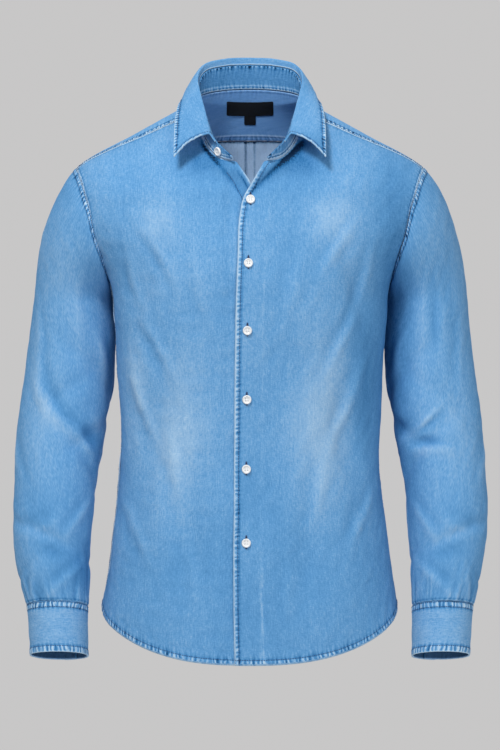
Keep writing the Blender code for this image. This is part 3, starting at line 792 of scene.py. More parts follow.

# %% [markdown]
# Two patterns aren't the same all over. Soft round patches, each placed one by one, hold the
# fades that washing leaves, and also painted shade and light. Along a seam there are puckers:
# a wave in the seam's own coordinates, which noise bends and breaks up so that no two of them
# are alike.

# %% Patches and puckers
ONE_OVER_E = 0.3679           # a power of it is a bell curve
PUCKER_PITCH = 0.0061
PUCKER_NOISE = (110.0, 60.0, 1.0)
PUCKER_BEND = 11.0            # how far, in radians, the noise bends the wave
PUCKER_SIZE = (1.8, -0.25)    # the wave's size is the noise times the first, plus the second


def patches(nodes, where, spots):
    """Sum of soft round patches: strength * exp(-distance squared), each with its own size."""
    total = 0.0
    for place, size, strength in spots:
        moved = nodes.stretched(where, tuple(1 / s for s in size),
                                place=tuple(-p / s for p, s in zip(place, size)))
        square = nodes.add("ShaderNodeVectorMath", operation="DOT_PRODUCT")
        nodes.link(moved, square.inputs[0])
        nodes.link(moved, square.inputs[1])
        soft = nodes.math("POWER", ONE_OVER_E, square.outputs["Value"])
        total = nodes.math("MULTIPLY_ADD", soft, strength, total)
    return total


def seam_puckers(nodes):
    """Slanting light and dark strokes across a seam, about -1 to 1, fading away from it."""
    seam = nodes.add("ShaderNodeAttribute", attribute_name="seam").outputs["Vector"]
    split = nodes.add("ShaderNodeSeparateXYZ")
    nodes.link(seam, split.inputs[0])
    along, away, strength = split.outputs
    joined = nodes.add("ShaderNodeCombineXYZ")
    nodes.link(along, joined.inputs[0])
    nodes.link(away, joined.inputs[1])
    bend = nodes.noise(nodes.stretched(joined.outputs[0], PUCKER_NOISE), 1.0, 1.5, 0.5)
    slanted = nodes.math("MULTIPLY_ADD", away, SEAM_SLANT, along)
    bent = nodes.math("MULTIPLY", bend, PUCKER_BEND)
    phase = nodes.math("MULTIPLY_ADD", slanted, 2 * math.pi / PUCKER_PITCH, bent)
    size = nodes.math("MULTIPLY_ADD", bend, *PUCKER_SIZE)
    wave = nodes.math("MULTIPLY", nodes.math("SINE", phase), size)
    return nodes.math("MULTIPLY", wave, strength)


print("puckers about every", 1000 * PUCKER_PITCH, "mm")

# %% [markdown]
# The tone of the cloth is a sum of numbers, and a colour ramp turns it into four blues. The
# deepest of them is the same in every denim, and it is painted shade: it is for folds, slits
# and shaded edges. The yarns and the puckers also go into a bump, so that low light finds them.

# %% Denim from its tone
# The deepest blue is painted shade, for folds, slits and shaded rims.
DENIM_DEEP = (0.004, 0.022, 0.062, 1.0)
TWILL_ANGLE = 27.0
# The wear number also holds painted shade, and this weight moves both.
WEAR_AND_SHADE_WEIGHT = 0.42                   # how far the wear number and the puckers move the tone
RAMP = (0.0, 0.12, 0.50, 0.92)


def denim(name, blues, spots, weave=1.0):
    """Denim whose tone is: patches + clouds + streaks + weave + wear and painted shade, run through
    four blues.

    blues: the dark, the middle and the pale one, above the deep one that all denims share.
    """
    nodes = Nodes(name)
    flat = nodes.add("ShaderNodeUVMap", uv_map="cloth").outputs["UV"]
    where = nodes.add("ShaderNodeTexCoord").outputs["Object"]
    # This attribute holds wear and painted shade.
    wear_and_shade_attribute = nodes.add("ShaderNodeAttribute", attribute_name="wash").outputs["Fac"]
    clouds = nodes.noise(nodes.stretched(where, (1.0, 1.0, 0.55)), 9.0, 3.0)
    mottle = nodes.noise(where, 75.0, 3.0, 0.6)
    streaks = nodes.noise(nodes.stretched(flat, (720.0, 150.0, 1.0)), 1.0, 2.5, 0.6)
    broad = nodes.noise(nodes.stretched(flat, (330.0, 16.0, 1.0)), 1.0, 2.0, 0.5)
    cross = nodes.noise(nodes.stretched(flat, (220.0, 900.0, 1.0)), 1.0, 1.5, 0.5)
    twill = nodes.add("ShaderNodeTexWave", wave_type="BANDS", bands_direction="X")
    slanting = nodes.stretched(flat, (1.0, 1.0, 1.0), turn=math.radians(TWILL_ANGLE))
    nodes.link(slanting, twill.inputs["Vector"])
    twill.inputs["Scale"].default_value = 420.0
    twill.inputs["Distortion"].default_value = 1.6
    twill.inputs["Detail"].default_value = 2.0
    twill.inputs["Detail Scale"].default_value = 1.4
    tone = nodes.math("MULTIPLY_ADD", clouds, 0.14, -0.07)
    for value, share in ((mottle, 0.05), (streaks, 0.42), (broad, 0.14), (cross, 0.26)):
        tone = nodes.math("MULTIPLY_ADD", nodes.math("SUBTRACT", value, 0.5), share * weave, tone)
    lines = nodes.math("SUBTRACT", twill.outputs["Fac"], 0.5)
    tone = nodes.math("MULTIPLY_ADD", lines, 0.12 * weave, tone)
    tone = nodes.math("MULTIPLY_ADD", wear_and_shade_attribute, WEAR_AND_SHADE_WEIGHT, tone)
    strokes = seam_puckers(nodes)
    tone = nodes.math("MULTIPLY_ADD", strokes, WEAR_AND_SHADE_WEIGHT, tone)
    if spots:
        tone = nodes.math("ADD", tone, patches(nodes, where, spots))
    ramp = nodes.add("ShaderNodeValToRGB")
    nodes.link(nodes.math("ADD", tone, 0.5), ramp.inputs["Fac"])
    stops = ramp.color_ramp.elements
    stops[0].position, stops[0].color = RAMP[0], DENIM_DEEP
    stops[1].position, stops[1].color = RAMP[3], blues[2]
    for place, blue in zip(RAMP[1:3], blues):
        stops.new(place).color = blue
    nodes.link(ramp.outputs["Color"], nodes.shader.inputs["Base Color"])
    relief = nodes.math("MULTIPLY_ADD", twill.outputs["Fac"], 0.5, nodes.math("MULTIPLY", streaks, 0.8))
    relief = nodes.math("MULTIPLY_ADD", strokes, 1.0, relief)
    bump = nodes.add("ShaderNodeBump")
    bump.inputs["Strength"].default_value = 0.28
    bump.inputs["Distance"].default_value = 0.0006
    nodes.link(relief, bump.inputs["Height"])
    nodes.link(bump.outputs["Normal"], nodes.shader.inputs["Normal"])
    nodes.shader.inputs["Roughness"].default_value = 0.88
    nodes.shader.inputs["Specular IOR Level"].default_value = 0.10
    return nodes.material


print("the twill lies at", TWILL_ANGLE, "degrees")

# %% [markdown]
# Four cloths come from that one formula. The outer face is the bluest. The inner face shows
# more of the white weft, so it is greyer, with the same weave in it, and its blues are raised
# as painted light, because the inside lies in shade. The second layers of the yoke and the
# cuffs show the outer face, a little less washed, and the cuffs' inside is painted shade.
# Two tables place soft patches: pale ones that washing left on the chest, the back and the
# elbows, a darker one low on the front, and painted shade and light: shadow under the leaf
# and in the V below it, shade above the wearer's right cuff, and painted shade on the
# wearer's left side and painted light on the right side.

# %% Denim materials
DENIM = ((0.019, 0.142, 0.350, 1.0), (0.121, 0.326, 0.600, 1.0), (0.470, 0.636, 0.780, 1.0))
# The inner face's blues are paler than the outer's, and raised further as painted light, because the
# inside lies in shade.
INNER_DENIM = ((0.145, 0.275, 0.440, 1.0), (0.480, 0.670, 0.900, 1.0), (0.620, 0.780, 0.940, 1.0))
LINING_DARK = (0.035, 0.120, 0.300, 1.0)
CUFF_DARK = (0.034, 0.092, 0.190, 1.0)
LINING_BLUES = ((0.140, 0.320, 0.630, 1.0), (0.400, 0.600, 0.850, 1.0))
BODY_FADES_AND_SHADE = (
    # place, size, strength
    ((0.095, -0.12, -0.175), (0.058, 0.12, 0.075), 0.03),
    ((-0.100, -0.12, -0.170), (0.052, 0.12, 0.080), 0.03),
    ((-0.090, -0.12, -0.440), (0.042, 0.12, 0.110), 0.12),
    ((0.092, -0.12, -0.430), (0.050, 0.12, 0.110), 0.12),
    ((0.0, -0.12, -0.640), (0.200, 0.20, 0.120), -0.06),
    # These three rows paint the shadow under the collar leaf's points and in the V below it.
    ((0.066, -0.11, -0.088), (0.030, 0.08, 0.020), -0.24),
    ((-0.066, -0.11, -0.088), (0.030, 0.08, 0.020), -0.24),
    ((0.0, -0.12, -0.110), (0.065, 0.08, 0.045), -0.10),
    ((-0.122, -0.12, -0.172), (0.026, 0.12, 0.030), 0.12),
    ((0.104, -0.12, -0.164), (0.030, 0.12, 0.028), 0.12),
    ((-0.106, -0.12, -0.474), (0.026, 0.12, 0.078), 0.10),
    ((0.100, -0.12, -0.446), (0.030, 0.12, 0.082), 0.08),
    # These four rows paint shade on the wearer's left side and light on the right side.
    ((0.150, -0.09, -0.385), (0.018, 0.12, 0.090), -0.20),
    ((-0.150, -0.09, -0.400), (0.017, 0.12, 0.090), 0.15),
    ((0.190, 0.0, -0.330), (0.022, 0.20, 0.200), -0.24),
    ((-0.190, 0.0, -0.330), (0.022, 0.20, 0.200), 0.03),
    ((0.060, 0.12, -0.300), (0.080, 0.12, 0.170), 0.14),
    ((-0.070, 0.12, -0.330), (0.070, 0.12, 0.160), 0.12),
)
# The first sleeve patch is painted shade above the wearer's right cuff; the others are pale wear.
SLEEVE_FADES_AND_SHADE = (((-0.226, -0.03, -0.628), (0.013, 0.06, 0.024), -0.22),
                ((0.222, -0.03, -0.300), (0.022, 0.08, 0.110), 0.04)) + tuple(
    ((side * 0.275, -0.02, z), (0.030, 0.06, height), strength)
    for side in (-1, 1) for z, height, strength in ((-0.20, 0.11, 0.04), (-0.42, 0.09, 0.08)))
OUTSIDE = denim("denim", DENIM, BODY_FADES_AND_SHADE + SLEEVE_FADES_AND_SHADE)
INSIDE = denim("denim_inside", INNER_DENIM, (), weave=0.8)
LINING = denim("denim_lining", (LINING_DARK, *LINING_BLUES), (), weave=0.5)
CUFF_LINING = denim("denim_cuff_lining", (CUFF_DARK, *LINING_BLUES), (), weave=0.3)
print("denim has", len(OUTSIDE.node_tree.nodes), "nodes")

# %% [markdown]
# ## The fronts
# Each front is one panel. Its top is the front yoke seam, its inner side is the neckline and
# then the front edge, its outer side is the armhole and then the side seam, and its bottom is
# the curved tail. Two shares lay it out: one down the panel, one across it. The shirt is
# worn open at the neck, so the two front edges swing out there like a lapel. The wearer's
# left front lies over the right one.

# %% The front panels' form
YOKE_FRONT_TURN = 15.0
YOKE_BACK_TURN = 45.0
YOKE_NECK_FRONT = 11.0
YOKE_NECK_BACK = -24.0
YOKE_BACK_Z = -0.046
NECK_SHARE = 6 / 11           # share of the armhole's height that faces the neckline
UNDER = CLOTH + 0.0011
UNDER_AT_V = 0.0024           # how much deeper the lower front lies near the neck
UNDER_V_Z = -0.19
UNDER_EDGE_X = 0.040          # the lower front comes level with the upper one here
FRONT_EDGE = np.array([
    # z       upper    lower
    [-0.0870, 0.0210, 0.0210],
    [-0.1200, 0.0026, -0.0005],
    [-0.1400, -0.0085, -0.0105],
    [-0.1600, -0.0128, -0.0145],
    [-0.2200, -0.0160, -0.0160],
    [-0.7600, -0.0190, -0.0160],
])
CORE = (0.0, 0.0, -0.35)
FRONT_COLUMNS = 96
CAP_ROWS = 90
SKIRT_ROWS = 200


def edge_turn(z, upper):
    """The turn of the upper or the lower front's edge at a height, from the table."""
    x = through(FRONT_EDGE[:, 0], FRONT_EDGE[:, 1 if upper else 2], z)
    return turn_of_x(x, z)


def front_panel(upper):
    """Points of one front, on the wearer's left: rows down it, columns from its front edge out."""
    cap = np.linspace(0.0, 1.0, CAP_ROWS)
    outer_turn, outer_z = armhole(YOKE_FRONT_TURN + cap * (180.0 - YOKE_FRONT_TURN))
    psi = YOKE_NECK_FRONT + np.clip(cap / NECK_SHARE, 0, 1) * (NECK_CORNER - YOKE_NECK_FRONT)
    neck_turn, neck_z = neckline(psi)
    below = np.clip((cap - NECK_SHARE) / (1 - NECK_SHARE), 0, 1)
    edge_z = neck_z[-1] + below * (outer_z[-1] - neck_z[-1])
    inner_z = np.where(below > 0, edge_z, neck_z)
    inner_turn = np.where(below > 0, edge_turn(edge_z, upper), neck_turn)
    skirt = np.linspace(0.0, 1.0, SKIRT_ROWS + 1)[1:]
    level = outer_z[-1] + skirt * (SIDE_HEM_Z - outer_z[-1])
    across = dense(0.0, 1.0, FRONT_COLUMNS, 0.55)
    turn = np.concatenate([inner_turn[:, None] + (outer_turn - inner_turn)[:, None] * across,
                           edge_turn(level, upper)[:, None] * (1 - across)])
    z = np.concatenate([inner_z[:, None] + (outer_z - inner_z)[:, None] * across,
                        level[:, None] + np.zeros(FRONT_COLUMNS)])
    drop = np.concatenate([np.zeros(CAP_ROWS), skirt])[:, None]
    z = z + (hem_z(turn, FRONT_TAIL) - SIDE_HEM_Z) * drop
    x = body_point(turn, z)[..., 0]
    under = UNDER + UNDER_AT_V * smoothstep((z - UNDER_V_Z) / 0.04)
    under = under * smoothstep((UNDER_EDGE_X - x) / 0.018)
    return body_point(turn, z, lapel(x, z) - (0.0 if upper else under))


def mirrored(points):
    """The same grid on the other side of the body, its columns in the opposite order."""
    return (points * np.array([-1.0, 1.0, 1.0]))[:, ::-1]


print("front grid:", front_panel(True).shape)

# %% [markdown]
# ## Creases
# Between its large folds a worn shirt has many small creases: a ridge with a hollow beside
# it, straight or a little bent, that fades out at both ends. Each crease is a row of a table.
# Across it runs a bell curve with a wider, shallower one of the other sign next to it. The
# ridge is rubbed pale, and the hollow is darkened with painted shade.

# %% Creases from a table
def creases(piece, a, b, table, tint=1.0):
    """Add each crease to a piece. a, b: the two coordinates, in metres, that the table uses."""
    for place_a, place_b, angle, length, width, height, bend in table:
        c, s = math.cos(math.radians(angle)), math.sin(math.radians(angle))
        along = ((a - place_a) * c + (b - place_b) * s) / length
        across = ((b - place_b) * c - (a - place_a) * s + bend * length * along**2) / width
        fade = bell(along, math.sqrt(0.5))
        ridge, hollow = bell(across, 1.0), bell(across - 1.7, 1.3)
        piece["height"] += height * fade * (ridge - 0.75 * hollow)
        strength = min(abs(height) / 0.004, 1.0) * math.copysign(1.0, height)
        # Pale on a crease's raised side is wear; dark on its sunken side is painted shade.
        piece["wash"] += tint * fade * strength * (0.30 * ridge - 0.22 * hollow)


def soften(piece, seed, broad=0.0011, fine=0.00022):
    """Shallow ripples all over: long ones that give shape, short ones that catch the light."""
    u, v = piece["flat"][..., 0], piece["flat"][..., 1]
    long_waves = ripples(u, v * 0.6, 0.085, seed)
    short_waves = ripples(u, v * 0.8, 0.019, seed + 1)
    piece["height"] += broad * long_waves + fine * short_waves
    piece["wash"] += 0.05 * long_waves + 0.03 * short_waves


FRONT_CREASES = (
    # x      z       angle  length  width   height  bend
    (0.118, -0.330, 62.0, 0.060, 0.0060, 0.0022, 0.10),
    (0.132, -0.400, 70.0, 0.070, 0.0070, 0.0026, -0.08),
    (0.090, -0.520, 80.0, 0.075, 0.0080, 0.0022, 0.06),
    (0.145, -0.560, 66.0, 0.060, 0.0070, 0.0018, 0.05),
    (0.060, -0.250, 75.0, 0.070, 0.0080, 0.0014, -0.06),
    (0.112, -0.205, 58.0, 0.060, 0.0060, 0.0018, 0.08),
    (0.150, -0.250, 75.0, 0.060, 0.0055, 0.0020, -0.05),
    (0.050, -0.640, 84.0, 0.050, 0.0070, 0.0016, 0.02),
    (-0.118, -0.335, 118.0, 0.060, 0.0060, 0.0022, -0.08),
    (-0.140, -0.410, 109.0, 0.075, 0.0070, 0.0026, 0.06),
    (-0.095, -0.500, 101.0, 0.080, 0.0080, 0.0020, -0.05),
    (-0.150, -0.570, 114.0, 0.060, 0.0070, 0.0018, 0.04),
    (-0.062, -0.270, 104.0, 0.070, 0.0080, 0.0014, 0.05),
    (-0.115, -0.215, 122.0, 0.060, 0.0060, 0.0018, -0.08),
    (-0.152, -0.245, 106.0, 0.060, 0.0055, 0.0020, 0.04),
    (-0.075, -0.630, 95.0, 0.050, 0.0070, 0.0016, -0.02),
)
print("creases on the fronts:", len(FRONT_CREASES))

# %% [markdown]
# ## Folds below the collar
# The leaf's points press each front into a sharp fold that runs down to the first button. Its
# shade is painted: a straight line of painted shade, soft on one side and sharp on the other,
# over a shallow groove.

# %% Folds below the collar
FOLD_DEPTH = 0.0016
NECK_FOLD_SHADES = {
    # x       z        angle  half    above   below   shade
    "front_right": ((-0.0376, -0.1009, 128.0, 0.046, 0.0027, 0.0040, -0.80),
                    (-0.0360, -0.1000, 128.0, 0.050, 0.0010, 0.0240, -0.26)),
    "front_left": ((0.0370, -0.0960, 47.4, 0.050, 0.0023, 0.0095, -1.25),),
}


def folds(piece, a, b, table):
    """A line of painted shade over a shallow groove: a bell across the line, with a width for each side
    of it.
    """
    for place_a, place_b, angle, half, above, below, shade in table:
        c, s = math.cos(math.radians(angle)), math.sin(math.radians(angle))
        along = ((a - place_a) * c + (b - place_b) * s) / half
        across = (b - place_b) * c - (a - place_a) * s
        far = np.clip(along, -1, 1)
        width = np.where(across > 0, above, below * (0.65 + 0.35 * far))
        line = bell(across, width) * smoothstep((1.15 - np.abs(along)) / 0.3)
        # Painted shade along the fold.
        piece["wash"] += shade * (0.68 + 0.32 * far) * line
        piece["height"] += FOLD_DEPTH * shade * line


print("folds below the collar:", sum(len(table) for table in NECK_FOLD_SHADES.values()))

# %% [markdown]
# ## Finish the fronts
# The front edge and the hem are turned and stitched, and the facing behind the front edge
# shows as a faint step. The yoke and the sleeve lie over the front's other borders, which
# therefore dip under them and pucker along the seam. A side seam is felled to the back.

# %% The two fronts
EDGE_STITCH = 0.0058
UNDER_STITCH = 0.0200
HEM_STITCH = 0.0072
FACING = 0.036                # how far the turned facing reaches behind the front edge
FACING_WORN_Z = -0.60         # below this height the facing's step is rubbed pale
TUCK = 0.0015                 # the strip of a border that dips under the next piece
FRONTS = {}


def finish_front(name, upper, seed):
    points = front_panel(upper) if upper else mirrored(front_panel(upper))
    edge, outer = ("left", "right") if upper else ("right", "left")
    piece = piece_from(points, CORE, flat=body_flat(points))
    rows = np.arange(len(points))[:, None]
    on_edge = smoothstep((rows - CAP_ROWS * NECK_SHARE) / 6)
    on_neck = smoothstep((CAP_ROWS * NECK_SHARE - rows) / 6)
    on_armhole = smoothstep((CAP_ROWS - rows) / 4)
    on_side = smoothstep((rows - CAP_ROWS) / 4)
    soften(piece, seed)
    creases(piece, points[..., 0], points[..., 2], FRONT_CREASES)
    away, along = from_border(points, edge)
    overlap = smoothstep((away - 0.004) / 0.030)
    piece["height"] *= 0.25 + 0.75 * overlap
    piece["height"] *= smoothstep(from_border(points, "top")[0] / 0.02)
    folds(piece, points[..., 0], points[..., 2], NECK_FOLD_SHADES[name])
    piece["wash"] += 0.9 * on_neck * bell(away, 0.0016)
    rise, wave, marks = (0.0006, 0.00028, 0.55) if upper else (0.0001, 0.0001, 0.0)
    sew(piece, edge, EDGE_STITCH, seed + 2, rise, wave, wear_and_shade_amount=1.2, fade=0.006, where=on_edge,
        rim_width=0.0019, marks=marks)
    sew(piece, edge, 0.002, seed + 3, rise=0.0, wave=0.0003, wear_and_shade_amount=0.5, fade=0.010, where=on_neck)
    sew(piece, outer, TUCK, seed + 4, rise=-0.0004, wave=0.0005, wear_and_shade_amount=0.7, fade=0.010, where=on_armhole)
    sew(piece, outer, TUCK, seed + 5, rise=-0.0003, wave=0.0005, wear_and_shade_amount=0.7, fade=0.010, where=on_side)
    sew(piece, "top", TUCK, seed + 6, rise=-0.0004, wave=0.0004, wear_and_shade_amount=0.6, fade=0.010)
    sew(piece, "bottom", HEM_STITCH, seed + 7, rise=0.0006, wave=0.00055, wear_and_shade_amount=1.0, fade=0.009)
    if not upper:
        line = bell(away - UNDER_STITCH, 0.0013) * (1 + wobble(along, 0.005, seed + 9))
        piece["wash"] -= 0.20 * on_edge * line
    ridge = bell(away - FACING, 0.0016)
    piece["height"] += on_edge * 0.0002 * ridge
    low = 0.10 + 0.40 * smoothstep((FACING_WORN_Z - points[..., 2]) / 0.06)
    piece["wash"] += on_edge * low * ridge * (1 + 0.6 * wobble(along, 0.03, seed + 8))
    FRONTS[name] = raise_cloth(piece)
    return cloth_wall(name, piece, [OUTSIDE, INSIDE])


for front, is_upper, front_seed in (("front_left", True, 11), ("front_right", False, 31)):
    made = finish_front(front, is_upper, front_seed)
    print(front, "faces:", len(made.data.polygons))

# %% [markdown]
# ## Back and yoke
# The back hangs under the yoke, with a narrow box pleat down its middle that opens out below
# the shoulder blades. The yoke is one piece over both shoulders: it starts at one front yoke
# seam, runs round behind the neck and ends at the other. It lies over the back and over the
# fronts, with two rows of stitches, and the body's armhole borders dip under the sleeves.

# %% The back
BACK_COLUMNS = 161
PLEAT_HALF = 0.0064
PLEAT_RISE = 0.0016
PLEAT_OPEN_Z = -0.30          # the pleat has opened out at this height
PLEAT_FADE = 0.12
SEAM_POWER = 3.0              # how flat the yoke's back seam stays before it drops
BACK_CREASES = (
    # x      z       angle  length  width   height  bend
    (-0.105, -0.300, 72.0, 0.075, 0.0080, 0.0024, 0.08),
    (-0.060, -0.360, 80.0, 0.080, 0.0090, 0.0022, -0.05),
    (-0.140, -0.420, 64.0, 0.065, 0.0070, 0.0022, 0.06),
    (-0.085, -0.520, 86.0, 0.085, 0.0090, 0.0024, 0.05),
    (-0.030, -0.560, 92.0, 0.080, 0.0080, 0.0018, 0.02),
    (-0.150, -0.240, 58.0, 0.055, 0.0060, 0.0020, -0.06),
    (-0.050, -0.200, 70.0, 0.060, 0.0080, 0.0016, 0.05),
    (0.110, -0.290, 107.0, 0.075, 0.0080, 0.0024, -0.07),
    (0.065, -0.370, 99.0, 0.080, 0.0090, 0.0022, 0.05),
    (0.138, -0.430, 117.0, 0.065, 0.0070, 0.0022, -0.06),
    (0.090, -0.510, 95.0, 0.085, 0.0090, 0.0024, -0.04),
    (0.035, -0.600, 88.0, 0.070, 0.0080, 0.0018, 0.02),
    (0.150, -0.250, 124.0, 0.055, 0.0060, 0.0020, 0.06),
    (0.055, -0.190, 112.0, 0.060, 0.0080, 0.0016, -0.05),
    (0.0, -0.450, 90.0, 0.120, 0.0070, 0.0020, 0.02),
)


def pleated(z):
    """1 where the pleat is pressed flat, 0 below the height where it has opened out."""
    return smoothstep((z - PLEAT_OPEN_Z) / PLEAT_FADE)


def back_form():
    """Rows from the yoke seam to the tail, columns from one side to the other."""
    cap = np.linspace(0.0, 1.0, CAP_ROWS)
    side_turn, side_z = armhole(-(YOKE_BACK_TURN + cap * (180.0 - YOKE_BACK_TURN)))
    skirt = np.linspace(0.0, 1.0, SKIRT_ROWS + 1)[1:]
    level = side_z[-1] + skirt * (SIDE_HEM_Z - side_z[-1])
    side_turn = np.concatenate([side_turn, 0.0 * skirt])
    mid_z = np.concatenate([YOKE_BACK_Z + cap * (side_z[-1] - YOKE_BACK_Z), level])
    side_z = np.concatenate([side_z, level])
    fall = np.concatenate([0.0 * cap, skirt])[:, None]
    outwards = dense(0.0, 1.0, BACK_COLUMNS // 2 + 1, 0.5)
    across = np.concatenate([-outwards[:0:-1], outwards])
    half = np.abs(across)
    turn = -90.0 + (side_turn + 90.0)[:, None] * half
    z = mid_z[:, None] + (side_z - mid_z)[:, None] * half**SEAM_POWER
    z = z + (hem_z(turn, BACK_TAIL) - SIDE_HEM_Z) * fall
    x = body_point(turn, z)[..., 0]
    pleat = smoothstep((PLEAT_HALF - x) / 0.0016) * pleated(z)
    points = body_point(turn, z, PLEAT_RISE * pleat)
    points[..., 0] *= np.sign(across)
    return points


def make_back():
    points = back_form()
    piece = piece_from(points, CORE, flat=body_flat(points))
    rows = np.arange(len(points))[:, None]
    soften(piece, 51)
    creases(piece, points[..., 0], points[..., 2], BACK_CREASES)
    piece["height"] *= smoothstep(from_border(points, "top")[0] / 0.02)
    pleat_line = bell(np.abs(points[..., 0]) - PLEAT_HALF, 0.0014) * pleated(points[..., 2])
    piece["wash"] += 0.5 * pleat_line
    on_armhole, on_side = smoothstep((CAP_ROWS - rows) / 4), smoothstep((rows - CAP_ROWS) / 4)
    for border, seed, where in (("left", 52, on_armhole), ("left", 61, on_side),
                                ("right", 53, on_armhole), ("right", 62, on_side)):
        sew(piece, border, TUCK, seed, rise=-0.0003, wave=0.0005, wear_and_shade_amount=0.7, fade=0.010, where=where)
    # The back's top border lies under the yoke's edge, so its rim gets painted shade.
    sew(piece, "top", TUCK, 54, rise=-0.0004, wave=0.0004, wear_and_shade_amount=0.6, fade=0.010, rim_wear_and_shade=-1.0)
    sew(piece, "bottom", HEM_STITCH, 55, rise=0.0006, wave=0.00055, wear_and_shade_amount=1.0, fade=0.009)
    # Inside, the back is darker along the pleat, and a line of painted shade runs along its top, under
    # the yoke.
    piece["inner_wash"] = piece["wash"] - 1.3 * pleat_line
    piece["inner_wash"] -= 1.2 * bell(from_border(points, "top")[0], 0.0022)
    return raise_cloth(piece)


BACK = make_back()
item = cloth_wall("back", BACK, [OUTSIDE, INSIDE])
print("back faces:", len(item.data.polygons))

# %% [markdown]
# The yoke's grid runs right across the shirt, so both shoulders and the back come from one
# formula. Its inner layer is a second cloth with the outer face showing, which is why the
# wall's inner side gets a material of its own, with painted shade along the back seam and
# then a pale line.

# %% The yoke
YOKE_COLUMNS = 230
YOKE_ROWS = 48
YOKE_BAND = 0.0070
YOKE_ARM_SHARE = 4 / 15       # share of each half's outer border that lies on the armhole
YOKE_MIDDLE = (0.0, 0.0, -0.3)


def yoke_form():
    """Rows from the neckline out, columns from the wearer's right front seam to the left one.

    The end of each half follows the armhole, the rest follows the back yoke seam.
    """
    share = np.abs(np.linspace(-1.0, 1.0, YOKE_COLUMNS))
    seam = 1.0 - YOKE_ARM_SHARE
    on_arm = np.clip((share - seam) / (1 - seam), 0, 1)
    on_back = np.clip(share / seam, 0, 1)
    arm_turn, arm_z = armhole(-YOKE_BACK_TURN + on_arm * (YOKE_FRONT_TURN + YOKE_BACK_TURN))
    end_turn, end_z = armhole(-YOKE_BACK_TURN)
    back_z = YOKE_BACK_Z + (end_z - YOKE_BACK_Z) * on_back**SEAM_POWER
    out_turn = np.where(on_arm > 0, arm_turn, -90.0 + (end_turn + 90.0) * on_back)
    out_z = np.where(on_arm > 0, arm_z, back_z)
    psi = np.where(on_arm > 0, YOKE_NECK_BACK + on_arm * (YOKE_NECK_FRONT - YOKE_NECK_BACK),
                   -90.0 + (YOKE_NECK_BACK + 90.0) * on_back)
    in_turn, in_z = neckline(psi)
    down = dense(0.0, 1.0, YOKE_ROWS, 0.4)[:, None]
    points = body_point(in_turn + (out_turn - in_turn) * down, in_z + (out_z - in_z) * down)
    points[..., 0] *= np.sign(np.linspace(-1.0, 1.0, YOKE_COLUMNS))
    return points


def make_yoke():
    points = yoke_form()
    piece = piece_from(points, YOKE_MIDDLE, flat=cross_flat(points))
    away = from_border(points, "bottom")[0]
    soften(piece, 61, broad=0.0002, fine=0.00006)
    piece["height"] *= smoothstep(away / 0.02)
    on_back = smoothstep(points[..., 1] / 0.012)
    sew(piece, "bottom", YOKE_BAND, 62, rise=0.0006, wave=0.0004, wear_and_shade_amount=0.9, fade=0.008, where=on_back)
    sew(piece, "bottom", TUCK, 63, rise=-0.0003, wave=0.0004, wear_and_shade_amount=0.7, fade=0.010, where=1 - on_back)
    for border, seed in (("left", 64), ("right", 65)):
        sew(piece, border, YOKE_BAND, seed, rise=0.0006, wave=0.0004, wear_and_shade_amount=1.4, fade=0.008)
    sew(piece, "top", TUCK, 66, rise=0.0, wave=0.0004, wear_and_shade_amount=0.5, fade=0.012)
    # Inside: painted shade along the back seam, then a pale line past the stitches.
    piece["inner_wash"] = piece["wash"] - 1.5 * on_back * bell(away, 0.0020)
    piece["inner_wash"] += 1.7 * on_back * bell(away - YOKE_BAND - DARK_LINE, 0.0011)
    piece["inner_marks"] = 0.5
    return raise_cloth(piece)


YOKE = make_yoke()
item = cloth_wall("yoke", YOKE, [OUTSIDE, LINING])
print("yoke faces:", len(item.data.polygons))

# %% [markdown]
# ## Sleeves
# A sleeve is a tube of tilted ovals, a table row for each, that bends a little forward at the
# elbow. Above the first oval a smooth cap joins it to the armhole: each line of the tube
# leaves the shoulder in its own direction and arrives in the tube's, as a cubic curve does
# between two points with two slopes. The tube's seam lies under the arm.

# %% The sleeve's form
SLEEVE = np.array([
    # x       y       z       half_x  half_y  tilt
    [0.2387, 0.030, -0.270, 0.0539, 0.0620, -2.0],
    [0.2391, 0.030, -0.313, 0.0579, 0.0620, 0.0],
    [0.2426, 0.028, -0.356, 0.0599, 0.0615, 2.0],
    [0.2478, 0.022, -0.403, 0.0612, 0.0600, 6.0],
    [0.2538, 0.013, -0.449, 0.0590, 0.0580, 10.0],
    [0.2587, 0.002, -0.494, 0.0556, 0.0560, 13.0],
    [0.2618, -0.009, -0.536, 0.0541, 0.0540, 14.5],
    [0.2628, -0.017, -0.564, 0.0527, 0.0525, 14.5],
    [0.2623, -0.025, -0.594, 0.0504, 0.0500, 14.5],
    [0.2598, -0.033, -0.627, 0.0474, 0.0470, 14.5],
    [0.2577, -0.038, -0.650, 0.0441, 0.0440, 14.5],
    [0.2549, -0.042, -0.673, 0.0399, 0.0407, 14.5],
])
SLEEVE_FOLDS = np.array([
    # along  turn   reach  slant   width  depth
    [0.42, 150.0, 70.0, 0.0012, 0.022, 0.0035],
    [0.50, 170.0, 80.0, -0.0010, 0.020, 0.0035],
    [0.57, 130.0, 65.0, 0.0013, 0.020, 0.0040],
    [0.48, 60.0, 60.0, -0.0011, 0.024, 0.0035],
    [0.78, 80.0, 75.0, 0.0008, 0.020, 0.0040],
    [0.88, 30.0, 70.0, -0.0009, 0.018, 0.0020],
    [0.86, 200.0, 70.0, 0.0010, 0.018, 0.0025],
])
SLEEVE_COLUMNS = 104
SLEEVE_CAP_ROWS = 66
SLEEVE_ARM_ROWS = 200
CAP_END = 0.25                # share of the sleeve's length where its ovals start
CAP_FULL = 0.92               # how strongly the cap's lines keep the shoulder's direction


